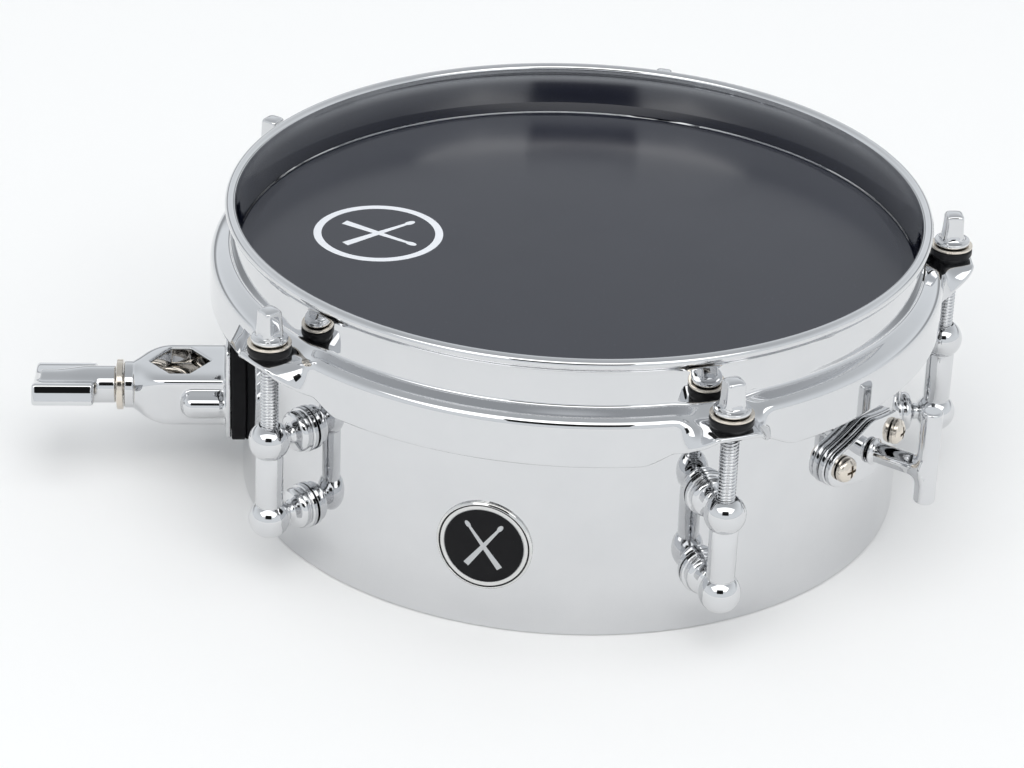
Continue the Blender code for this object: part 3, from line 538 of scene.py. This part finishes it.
def radial(radius, angle, height=0.0):
    """Point (r cos t, r sin t, height) of an angle in degrees round the drum."""
    turn = np.radians(angle)
    return radius * np.cos(turn), radius * np.sin(turn), height


# ---------------------------------------------------------------------- lugs and tension rods

def lug_mesh():
    """Two balls on a tube, turned in one piece, joined to two turned necks with rosettes."""
    turn_down = np.radians(np.linspace(58, -47, 22))
    upper = np.stack((BALL_RADIUS * np.cos(turn_down),
                      UPPER_BALL + BALL_RADIUS * np.sin(turn_down)), -1)
    turn_down = np.radians(np.linspace(47, -90, 28))
    lower = np.stack((BALL_RADIUS * np.cos(turn_down),
                      LOWER_BALL + BALL_RADIUS * np.sin(turn_down)), -1)
    mouth = np.array([(0, 42.0), (3.0, 42.0), (3.0, UPPER_BALL + 5.0), (3.05, UPPER_BALL + 5.2)])
    tube = np.array([(4.0, UPPER_BALL - 4.62), (4.0, UPPER_BALL - 4.9), (4.1, UPPER_BALL - 5.1),
                     (4.1, LOWER_BALL + 5.1), (4.0, LOWER_BALL + 4.9), (4.0, LOWER_BALL + 4.62)])
    post = surface(lathe(np.vstack((mouth, upper, tube, lower)), 64))
    seat = SEAT_RADIUS - ROD_CIRCLE
    corners = [(0, -2.0), (2.9, -2.0), (2.4, -6.2), (2.9, -7.4), (5.6, -8.3), (6.25, -9.6),
               (5.95, -10.9), (5.6, -11.25), (6.75, -11.5), (6.75, seat + 0.1), (0, seat + 0.1)]
    radius = [0, 0, 1.6, 1.8, 1.6, 1.4, 0.6, 0.15, 0.5, 0.15, 0]
    neck = turned(corners, radius, 56, PLUS_X)
    necks = [("UNION", shifted(neck, (0, 0, height))) for height in (UPPER_BALL, LOWER_BALL)]
    return carved(post, *necks)


def tension_rod_mesh():
    """Rod whose radius is a function of height and turn.

    The thread is a ridge r + depth*(wave - 1) of cos(turn - height/pitch), softened at its
    crests. The head is a superellipse whose power grows from a circle at the flange to a
    rounded square at the key.
    """
    columns = 48
    turn = np.linspace(0, 2 * np.pi, columns, endpoint=False)[None]
    foot = np.array([(31.8, 0.0), (31.8, 1.6), (32.0, 1.95), (32.7, 2.45)])
    shank = np.arange(33.0, 76.6, THREAD_PITCH / 11)
    foot_r = foot[:, 1:] + 0 * turn
    wave = 0.5 + 0.5 * np.cos(turn - 2 * np.pi * shank[:, None] / THREAD_PITCH)
    fade = smooth((shank - 33.0) / 0.8) * smooth((76.6 - shank) / 0.8)
    thread_r = 2.7 - 0.5 * (1 - wave ** 0.8) * fade[:, None]
    head = np.array([(77.0, 2.7), (77.95, 2.7), (78.0, 2.8), (78.0, 5.05), (78.06, 5.25),
                     (78.22, 5.38), (78.5, 5.4), (78.9, 5.4), (79.14, 5.33), (79.27, 5.12),
                     (79.3, 4.9), (79.34, 4.45), (79.46, 4.1), (79.75, 3.7), (80.15, 3.42),
                     (80.6, 3.2), (81.2, 3.05), (82.0, 2.95), (84.0, 2.86), (86.3, 2.78),
                     (87.0, 2.72), (87.45, 2.55), (87.75, 2.25), (87.95, 1.75), (88.05, 1.1),
                     (88.1, 0.5), (88.1, 0.0)])
    power = 2 + 5.0 * smooth((head[:, :1] - 79.6) / 1.6) - 3.6 * smooth((head[:, :1] - 87.0) / 1.0)
    around = (np.abs(np.cos(turn)) ** power + np.abs(np.sin(turn)) ** power) ** (-1 / power)
    radii = np.vstack((foot_r, thread_r, head[:, 1:] * around))
    height = np.concatenate((foot[:, 0], shank, head[:, 0]))[:, None]
    points = np.stack((radii * np.cos(turn), radii * np.sin(turn), height + 0 * turn), -1)
    return surface(points)


def washer_mesh():
    """Flat ring with eased edges under a rod's flange."""
    return turned([(3.0, 77.7), (6.4, 77.7), (6.4, 76.9), (3.0, 76.9)], 0.3, 64, closed=True)


def grommet_mesh():
    """Black bush: a flange with a softened edge, tapered in to a neck through the ear."""
    corners = [(3.05, 76.65), (6.1, 76.65), (6.4, 76.1), (6.4, 74.7), (5.5, 73.2), (4.75, 73.1),
               (4.75, 70.7), (3.05, 70.7)]
    return turned(corners, [0.2, 0.4, 0.5, 0.7, 0.5, 0.1, 0.4, 0.2], 64, closed=True)


def nut_mesh():
    """Plain threaded sleeve inside a lug's upper ball."""
    return turned([(3.0, 47.9), (4.1, 47.9), (4.1, 41.9), (3.0, 41.9)], 0.3, 48, closed=True)


def screw_mesh(seat, tip, head=4.3, shank=2.1, outwards=True):
    """Pan-head screw along the radius with a crossed recess in its domed head."""
    away = 1 if outwards else -1
    corners = [(0, seat - away * 3.1), (head * 0.52, seat - away * 3.0),
               (head * 0.92, seat - away * 1.9), (head, seat - away * 0.9), (head, seat),
               (shank, seat), (shank, tip - away * 0.7), (shank * 0.7, tip), (0, tip)]
    body = turned(corners, [0, 2.5, 1.2, 0.8, 0.15, 0.1, 0.2, 0.1, 0], 48, PLUS_X)
    slot = prism([(-2.0, -0.42), (2.0, -0.42), (2.0, 0.42), (-2.0, 0.42)], -3.4, -1.5)
    cross = prism([(-0.42, -2.0), (0.42, -2.0), (0.42, 2.0), (-0.42, 2.0)], -3.4, -1.5)
    tools = []
    for tool in (slot, cross):
        tool = shifted(tool, turn=90 * away, axis="Y")
        tools.append(("DIFFERENCE", shifted(tool, (seat, 0, 0))))
    return carved(body, *tools)


# --------------------------------------------------------------------------------- rod clamp

def flange_outline(y, z, grow=0.0):
    """Field of the flange's outline: level ends, sides bowed by 1.8 mm, corners rounded."""
    middle, half = 4.7, 15.5 + grow
    side = 15.8 + grow + 1.8 * (1 - ((z - middle) / half) ** 2)
    return eased_max(np.abs(y) - side, np.abs(z - middle) - half, 2.2)


def casting_field(p):
    """Egg-nosed block of superellipse sections, two screw ribs and a flange, then its holes."""
    x, y, z = p[..., 0], p[..., 1], p[..., 2]
    share = np.clip((x + 11.2) / 12.2, 0, 1)
    swell = 0.35 * np.sin(share * np.pi / 2) + 0.65 * np.sqrt(1 - (1 - share) ** 2)
    wide, tall, power = 7.2 + 5.3 * swell, 7.2 + 1.3 * swell, 2 + 6 * smooth(share * 1.05)
    inside = ((np.abs(y) / wide) ** power + (np.abs(z) / tall) ** power + 1e-9) ** (1 / power)
    body = eased_max((inside - 1) * tall, between(x, -14.0, 18.4), 0.5)
    rib = np.hypot(np.abs(y) - CLAMP_SCREW_OFFSET, z) - 4.15
    body = melted(body, eased_max(rib, between(x, 3.9, 18.4), 3.4), 1.3)
    flange = eased_max(flange_outline(y, z), between(x, 17.4, 19.0), 0.6)
    body = melted(body, flange, 1.6)
    left, right = -0.8 * (x + 6.1) + 0.6 * np.abs(y), 0.8 * (x - 12.5) + 0.6 * np.abs(y)
    hole = np.maximum(np.maximum(left, right), np.abs(y) - 8.4)
    body = cut(body, hole, 0.7)
    run = np.clip(x, -1.7, 2.3)
    slot = np.maximum(np.hypot(x - run, y) - 10.15, np.abs(z) - 2.8)
    bore = np.maximum(np.hypot(y, z) - 3.4, between(x, -20, -3))
    taps = np.maximum(np.hypot(np.abs(y) - CLAMP_SCREW_OFFSET, z) - 2.3, between(x, 7.2, 25))
    return cut(cut(cut(body, slot, 0.25), bore, 0.25), taps, 0.2)


def gasket_field(p):
    """Rubber block of the flange's outline whose inner face follows the drum's wall."""
    x, y, z = p[..., 0], p[..., 1], p[..., 2]
    block = eased_max(flange_outline(y, z, 0.45), between(x, 19.1, 26), 0.5)
    wall = SEAT_RADIUS + 0.05 - np.hypot(x - drum_x, y)
    taps = np.hypot(np.abs(y) - CLAMP_SCREW_OFFSET, z) - 2.3
    return cut(eased_max(block, wall, 0.4), taps, 0.2)


def eye_bolt_field(p):
    """Flat ring round the rod, its edges well rounded, melted into a plain shank."""
    x, y, z = p[..., 0], p[..., 1], p[..., 2]
    ring = eased_max(np.abs(np.hypot(x + 1.7, y) - 8.13) - 1.63, np.abs(z) - 2.35, 0.9)
    shank = eased_max(np.hypot(y, z) - 3.0, between(x, -30.5, -10.0), 0.6)
    inside = 6.5 - np.hypot(x + 1.7, y)
    return np.maximum(melted(ring, shank, 0.8), inside)


def wing_nut_field(p):
    """Bar with thick tips and a thin waist, melted onto a hub with a blind bore.

    Each tip is a parabola (z - z0)^2 / 30 whose crown lies below the middle on one side and
    above it on the other, so the nut looks the same after half a turn.
    """
    x, y, z = p[..., 0], p[..., 1], p[..., 2]
    half = 2.25 + 1.0 * smooth((np.abs(y) - 4.5) / 7.0)
    tip = np.abs(y) - 14.0 + (z - 2.0 * np.sign(y)) ** 2 / 30.0
    section = eased_max(np.abs(z) - half, tip, 0.5)
    bar = eased_max(section, between(x, -41.7, -22.8), 1.1)
    radius = 5.72 - 1.2 * smooth((-24.0 - x) / 12.0)
    hub = eased_max(np.hypot(y, z) - radius, between(x, -39.5, -16.6), 0.5)
    bore = np.maximum(np.hypot(y, z) - 3.3, between(x, -35, 0))
    return cut(melted(bar, hub, 1.5), bore, 0.3)


# ---------------------------------------------------------------- snare adjuster, snares, badge

def lozenge(s, z, grow=0.0):
    """Field of the outline hull of a middle circle and two smaller end circles."""
    s, z = np.abs(s), np.abs(z)
    big, small, length = 9.6 + grow, 6.0 + grow, STRAINER_SCREW_OFFSET
    lean = (big - small) / length
    rise = np.sqrt(1 - lean * lean)
    along = rise * s - lean * z
    field = rise * z + lean * s - big
    field = np.where(along < 0, np.hypot(s, z) - big, field)
    return np.where(along > rise * length, np.hypot(s - length, z) - small, field)


def plate_field(near, far, grow, centre_hole):
    """Field of a lozenge plate bent to the wall between two radii, with its three holes."""
    def field(p):
        x, y, z = p[..., 0], p[..., 1], p[..., 2]
        s = SHELL_RADIUS * np.arctan2(y, x)
        body = eased_max(lozenge(s, z, grow), between(np.hypot(x, y), near, far), 0.55)
        screws = np.hypot(np.abs(s) - STRAINER_SCREW_OFFSET, z) - 2.1
        return cut(cut(body, screws, 0.2), np.hypot(s, z) - centre_hole, 0.2)
    return field


def t_handle_field(p):
    """Cross bar melted onto a shaft that flares at its stop and narrows to the spindle."""
    x, y, z = p[..., 0], p[..., 1], p[..., 2]
    bar = eased_max(np.hypot(x - 124.6, y) - 3.15, between(z, -10.6, 19.4), 0.9)
    round_x = np.hypot(y, z)
    shaft = eased_max(round_x - 3.05 - 0.95 * smooth((108.2 - x) / 1.2), between(x, 106.5, 124),
                      0.35)
    spindle = eased_max(round_x - 2.5, between(x, 84.0, 108.0), 0.5)
    return melted(melted(bar, shaft, 2.6), spindle, 0.3)


def wrapped(mesh):
    """The mesh bent round the drum: x stays the distance from the axis, y runs round it."""
    made = mesh.copy()
    place = np.empty(len(made.vertices) * 3)
    made.vertices.foreach_get("co", place)
    x, y, z = place.reshape(-1, 3).T
    turn = y / (SHELL_RADIUS * MM)
    made.vertices.foreach_set("co", np.stack((x * np.cos(turn), x * np.sin(turn), z), 1).ravel())
    return made


def badge_rim_mesh():
    """Bright ring with a crowned outer band, a fine groove and a flat inner band."""
    base = SEAT_RADIUS
    corners = [(11.85, base + 0.75), (13.05, base + 0.8), (13.15, base + 0.55),
               (13.3, base + 0.55), (13.4, base + 1.15), (14.2, base + 0.6), (14.2, base),
               (11.85, base)]
    return wrapped(turned(corners, [0.1, 0.05, 0.05, 0.05, 0.5, 0.5, 0.1, 0.1], 144, PLUS_X,
                          closed=True))


def badge_disc_mesh():
    """Flat disc in even rings, so that it bends smoothly to the wall."""
    r = np.concatenate((np.linspace(0, 11.6, 14), (11.75, 11.8, 11.8, 11.6, 6.0, 0.0)))
    lift = np.concatenate((np.full(14, 0.78), (0.74, 0.6, 0.0, 0.0, 0.0, 0.0)))
    return wrapped(surface(lathe(np.stack((r, SEAT_RADIUS + lift), -1), 144, PLUS_X)))


# ------------------------------------------------------------------------------------- scene

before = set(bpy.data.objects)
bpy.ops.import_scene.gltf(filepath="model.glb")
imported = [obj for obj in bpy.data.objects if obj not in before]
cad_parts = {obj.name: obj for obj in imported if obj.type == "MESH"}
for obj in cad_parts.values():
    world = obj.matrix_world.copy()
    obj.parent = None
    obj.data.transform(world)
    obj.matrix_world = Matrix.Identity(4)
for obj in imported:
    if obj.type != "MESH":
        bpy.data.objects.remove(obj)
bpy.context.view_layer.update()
shell_low, shell_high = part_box("shell")
drum_x = (shell_low.x + shell_high.x) / 2 / MM
DRUM = Vector((drum_x, (shell_low.y + shell_high.y) / 2 / MM, shell_low.z / MM)) * MM

TONE, HANDLING, EMBLEM = tone_group(), handling_group(), emblem_group()
CHROME = finish("chrome_plating", (0.71, 0.715, 0.725), (0.67, 0.677, 0.69), 0.02, 0.04, 0.08,
                1.0, 0.015)
NICKEL = finish("nickel_plating", (0.80, 0.74, 0.66), (0.70, 0.64, 0.56), 0.16, 0.16, 0.2, 1.0,
                0.2, 300.0)
ZINC = finish("zinc_plating", (0.62, 0.63, 0.65), (0.48, 0.49, 0.52), 0.26, 0.2, 0.2, 1.0, 0.3,
              400.0)
BRASS = finish("turned_brass", (0.76, 0.58, 0.28), (0.62, 0.44, 0.18), 0.22, 0.2, 0.1, 1.0, 0.2,
               300.0)
ALUMINIUM = finish("rolled_aluminium", (0.78, 0.79, 0.80), (0.66, 0.67, 0.69), 0.3, 0.2, 0.2,
                   1.0, 0.3, 200.0)
RUBBER = finish("moulded_rubber", (0.010, 0.010, 0.011), (0.006, 0.006, 0.007), 0.5, 0.25, 0.3,
                0.0, 0.5, 250.0, specular=0.12)
NYLON = finish("moulded_nylon", (0.010, 0.010, 0.011), (0.006, 0.006, 0.007), 0.32, 0.25, 0.2,
               0.0, 0.3, 300.0, specular=0.2)
FILM = finish("head_film", (0.012, 0.014, 0.026), (0.009, 0.011, 0.021), 0.2, 0.08, 0.2, 0.0,
              0.03, 25.0, specular=0.42)
ENAMEL = finish("badge_enamel", (0.010, 0.010, 0.011), (0.007, 0.007, 0.008), 0.2, 0.1, 0.1,
                0.0, 0.05, 200.0, specular=0.12)
BADGE_METAL = finish("badge_plating", (0.74, 0.74, 0.73), (0.69, 0.69, 0.68), 0.05, 0.05, 0.1,
                     1.0, 0.03)
badge_turn = np.radians(BADGE_ANGLE)
badge_centre = DRUM + Vector(radial(102.4, BADGE_ANGLE, BADGE_HEIGHT)) * MM
badge_across = (-np.sin(badge_turn), np.cos(badge_turn), 0.0)
print_and_painted_shade(ENAMEL, (0.50, 0.51, 0.52), badge_centre, badge_across, (0.0, 0.0, 1.0), 9.3, 11.75,
        13.0)
# Painted shade: a black, non-metal band over the badge rim's fine groove stands in for the shade
# inside it.
print_and_painted_shade(BADGE_METAL, (0.02, 0.02, 0.02), badge_centre, badge_across, (0.0, 0.0, 1.0), 1.0, 12.95,
        13.35, sticks=False, metal=0.0)
print_and_painted_shade(FILM, (0.80, 0.82, 0.86), DRUM + Vector(MARK_PLACE + (HEAD_TOP,)) * MM,
        (0.0, -1.0, 0.0), (1.0, 0.0, 0.0), MARK_SIZE, 17.35, 19.75)


def piece(name, mesh, body, material, slot, *nodes, angle=0.0, radius=0.0, height=0.0,
          on_drum=True):
    """Object at the origin whose mesh is moved to its place, and which stands for CAD nodes."""
    mesh = mesh.copy()
    if on_drum:
        seat = Matrix.Translation(DRUM) @ Matrix.Rotation(np.radians(angle), 4, "Z")
        mesh.transform(seat @ Matrix.Translation(Vector((radius, 0, height)) * MM))
    mesh.name = name
    mesh.materials.clear()
    mesh.materials.append(material)
    made = bpy.data.objects.new(name, mesh)
    bpy.context.collection.objects.link(made)
    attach(made, body)
    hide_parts(*nodes)
    return made


piece("shell_wall", shell_mesh(), "drum", CHROME, "chrome", "shell")
piece("head", head_mesh(), "drum", FILM, "head_film", "drum_head")
piece("flesh_ring", flesh_hoop_mesh(), "drum", ALUMINIUM, "aluminium", "flesh_hoop")
piece("hoop", hoop_mesh(), "hoop", CHROME, "chrome", "counter_hoop")

repeated = (("post", lug_mesh(), "drum", CHROME, "chrome", "lug_"),
            ("insert", nut_mesh(), "drum", BRASS, "brass", "lug_nut_"),
            ("tuning_rod", tension_rod_mesh(), "rod_", CHROME, "chrome", "tension_rod_"),
            ("washer", washer_mesh(), "hoop", NICKEL, "nickel", "rod_washer_"),
            ("bush", grommet_mesh(), "hoop", NYLON, "black_nylon", "rod_grommet_"))
inside_screw = screw_mesh(99.95, 108.2)
for number, lug_angle in enumerate(LUG_ANGLES, 1):
    for label, shape, rides, look, slot_name, node in repeated:
        body_name = rides + str(number) if rides.endswith("_") else rides
        piece(label + "_" + str(number), shape, body_name, look, slot_name, node + str(number),
              angle=lug_angle, radius=ROD_CIRCLE)
    for level, ball_height in (("upper", UPPER_BALL), ("lower", LOWER_BALL)):
        piece("inside_screw_" + level + "_" + str(number), inside_screw, "drum", ZINC, "steel",
              "lug_screw_" + level + "_" + str(number), angle=lug_angle, height=ball_height)

piece("clamp_body", cast(casting_field, (-15, -20.5, -12), (20, 20.5, 21.5), 0.34), "drum",
      CHROME, "chrome", "clamp_casting", on_drum=False)
piece("saddle", cast(gasket_field, (18.2, -21, -12.5), (25.5, 21, 22), 0.4), "drum", RUBBER,
      "black_rubber", "clamp_gasket", on_drum=False)
piece("eye", cast(eye_bolt_field, (-31.5, -10.8, -4), (9, 10.8, 4), 0.34), "eye", NICKEL,
      "nickel", "eye_bolt", on_drum=False)
wing = cast(wing_nut_field, (-42.7, -15, -6.8), (-15.6, 15, 6.8), 0.34)
wing = shifted(wing, turn=WING_REST_TURN, axis="X")
piece("wing", wing, "wing", CHROME, "chrome", "wing_nut", on_drum=False)
ring_washer = turned([(3.4, -14.3), (7.75, -14.3), (7.75, -16.3), (3.4, -16.3)],
                     [0.2, 0.4, 0.4, 0.2], 96, PLUS_X, closed=True)
piece("ring_washer", ring_washer, "drum", NICKEL, "nickel", "wing_washer", on_drum=False)
clamp_screw = shifted(screw_mesh(98.45, 114.7), (drum_x, 0, 0), 180)
for number, side in enumerate((-1, 1), 1):
    piece("clamp_bolt_" + str(number), shifted(clamp_screw, (0, side * CLAMP_SCREW_OFFSET, 0)),
          "drum", ZINC, "steel", "clamp_screw_" + str(number), on_drum=False)

plate_low, plate_high = (97.0, -22, -11.2), (107.5, 22, 11.2)
for label, node, near, far, grow, centre in (
        ("adjuster_base", "strainer_base", SEAT_RADIUS, 103.85, 0.3, 2.9),
        ("adjuster_plate", "strainer_plate", 104.05, 106.0, 0.0, 3.4)):
    piece(label, cast(plate_field(near, far, grow, centre), plate_low, plate_high, 0.32), "drum",
          CHROME, "chrome", node, angle=STRAINER_ANGLE, height=STRAINER_HEIGHT)
handle = cast(t_handle_field, (83, -5, -12), (129, 5, 20.5), 0.32)
piece("tee_handle", handle, "handle", CHROME, "chrome", "t_handle", angle=STRAINER_ANGLE,
      height=STRAINER_HEIGHT)
crosshead = screw_mesh(106.3, 96.6, 3.9, 1.7, False)
screw_turn = np.degrees(STRAINER_SCREW_OFFSET / SHELL_RADIUS)
for number, side in enumerate((-1, 1), 1):
    piece("crosshead_" + str(number), crosshead, "drum", NICKEL, "nickel",
          "strainer_screw_" + str(number), angle=STRAINER_ANGLE + side * screw_turn,
          height=STRAINER_HEIGHT)

piece("badge_ring", badge_rim_mesh(), "drum", BADGE_METAL, "chrome", "badge_rim", angle=BADGE_ANGLE,
      height=BADGE_HEIGHT)
piece("badge_face", badge_disc_mesh(), "drum", ENAMEL, "badge_enamel", "badge_disc",
      angle=BADGE_ANGLE, height=BADGE_HEIGHT)

for look, node_names in ((ZINC, ("strainer_backing", "snare_slider", "snare_wires", "snare_butt")),
                         (NICKEL, ("butt_screw_1", "butt_screw_2"))):
    for node_name in node_names:
        kept_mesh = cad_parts[node_name].data
        kept_mesh.materials.clear()
        kept_mesh.materials.append(look)


# ----------------------------------------------------------------------------- stage and camera

def stage():
    """Pale matt floor, level with the shell's foot."""
    side = np.linspace(-FLOOR_REACH, FLOOR_REACH, 9)
    grid = np.stack(np.meshgrid(side, side, (shell_low.z / MM,), indexing="ij"), -1)
    floor_mesh = surface(grid[:, :, 0], False, False)
    floor = bpy.data.objects.new("floor", floor_mesh)
    bpy.context.collection.objects.link(floor)
    paper = bpy.data.materials.new("floor_paper")
    paper.use_nodes = True
    shader = paper.node_tree.nodes["Principled BSDF"]
    shader.inputs["Base Color"].default_value = (0.935, 0.932, 0.926, 1)
    shader.inputs["Roughness"].default_value = 0.9
    shader.inputs["Specular IOR Level"].default_value = 0.1
    floor_mesh.materials.append(paper)


def tent(towards_camera):
    """World light: a bright panel over the camera, cooler walls that dim upwards, a duller low
    band at the back and a dark opening round the camera."""
    world = bpy.data.worlds.new("tent")
    bpy.context.scene.world = world
    world.use_nodes = True
    tree = world.node_tree
    direction = tree.nodes.new("ShaderNodeTexCoord").outputs["Generated"]

    def along(axis):
        """Share of the light's direction that lies along an axis."""
        node = tree.nodes.new("ShaderNodeVectorMath")
        node.operation = "DOT_PRODUCT"
        tree.links.new(direction, node.inputs[0])
        node.inputs[1].default_value = axis
        return node.outputs["Value"]

    def ramp(value, low, high, start=0.0, end=1.0):
        """Smooth step from start to end as the value goes from low to high."""
        node = tree.nodes.new("ShaderNodeMapRange")
        node.interpolation_type = "SMOOTHSTEP"
        tree.links.new(value, node.inputs["Value"])
        for label, number in zip(("From Min", "From Max", "To Min", "To Max"),
                                 (low, high, start, end)):
            node.inputs[label].default_value = number
        return node.outputs["Result"]

    def window(first, second, reach_first, reach_second, edge, shift=0.0):
        """Soft-edged rectangle in two coordinates, moved along the first."""
        over = math_node(tree, "ABSOLUTE", math_node(tree, "SUBTRACT", first, shift))
        inside = ramp(over, reach_first - edge, reach_first + edge, 1.0, 0.0)
        other = ramp(math_node(tree, "ABSOLUTE", second), reach_second - edge,
                     reach_second + edge, 1.0, 0.0)
        return math_node(tree, "MULTIPLY", inside, other)

    ahead = Vector(towards_camera).normalized()
    right = Vector((0, 0, 1)).cross(ahead).normalized()
    level = right.cross(Vector((0, 0, 1)))
    height = along((0, 0, 1))
    rise = math_node(tree, "MAXIMUM", height, 0.02)
    panel = window(math_node(tree, "DIVIDE", along(level), rise),
                   math_node(tree, "DIVIDE", along(right), rise), 0.54, 1.25, 0.07, 1.08)
    depth = math_node(tree, "MAXIMUM", along(ahead), 0.05)
    opening = window(math_node(tree, "DIVIDE", along(right), depth),
                     math_node(tree, "DIVIDE", along(ahead.cross(right)), depth),
                     0.31, 0.19, 0.004)
    behind = ramp(along(-level), -0.25, 0.55)
    wall = ramp(height, 0.25, 0.9, WALL_LOW, WALL_HIGH)
    wall = math_node(tree, "ADD", wall, math_node(tree, "MULTIPLY", behind, 0.06))
    dusk = math_node(tree, "MULTIPLY", ramp(along(-level), 0.1, 0.7),
                     math_node(tree, "MULTIPLY", ramp(height, 0.04, 0.10),
                               ramp(height, 0.20, 0.30, 1.0, 0.0)))
    wall = math_node(tree, "SUBTRACT", wall, math_node(tree, "MULTIPLY", dusk, DUSK_DEPTH))
    bright = math_node(tree, "ADD", wall, math_node(tree, "MULTIPLY", panel, PANEL_GAIN))
    bright = math_node(tree, "MULTIPLY", bright,
                       math_node(tree, "SUBTRACT", 1.0, math_node(tree, "MULTIPLY", opening,
                                                                  0.985)))
    seen = tree.nodes.new("ShaderNodeLightPath").outputs["Is Camera Ray"]
    hue = mixed(tree, panel, (0.93, 0.965, 1.0), (1.0, 1.0, 0.99))
    tree.links.new(mixed(tree, seen, hue, (0.97, 0.97, 0.975)),
                   tree.nodes["Background"].inputs["Color"])
    strength = math_node(tree, "ADD", math_node(tree, "MULTIPLY", bright,
                                                math_node(tree, "SUBTRACT", 1.0, seen)), seen)
    tree.links.new(strength, tree.nodes["Background"].inputs["Strength"])


def soft_light(name, location, target, size, power):
    """Square light that looks at its target and isn't mirrored by the plating."""
    light = bpy.data.lights.new(name, "AREA")
    light.shape, light.size, light.energy = "SQUARE", size, power
    made = bpy.data.objects.new(name, light)
    made.location = location
    made.rotation_euler = (Vector(target) - Vector(location)).to_track_quat("-Z", "Y").to_euler()
    made.visible_glossy = False
    bpy.context.collection.objects.link(made)


def camera():
    """Long lens on the side of the badge, a little above the hoop."""
    lens = bpy.data.cameras.new("camera")
    lens.sensor_width, lens.lens = 36.0, 124.34
    made = bpy.data.objects.new("camera", lens)
    made.location = (0.037976, -0.9665, 0.512895)
    made.rotation_euler = np.radians((62.1181, -1.8825, -2.9983))
    bpy.context.collection.objects.link(made)
    bpy.context.scene.camera = made
    return made


bpy.context.scene.view_settings.view_transform = "Standard"
stage()
eye_point = camera()
tent(eye_point.location - DRUM)
soft_light("overhead", (0.12, -0.35, 1.5), (0.12, 0, 0), 1.2, 6.5)
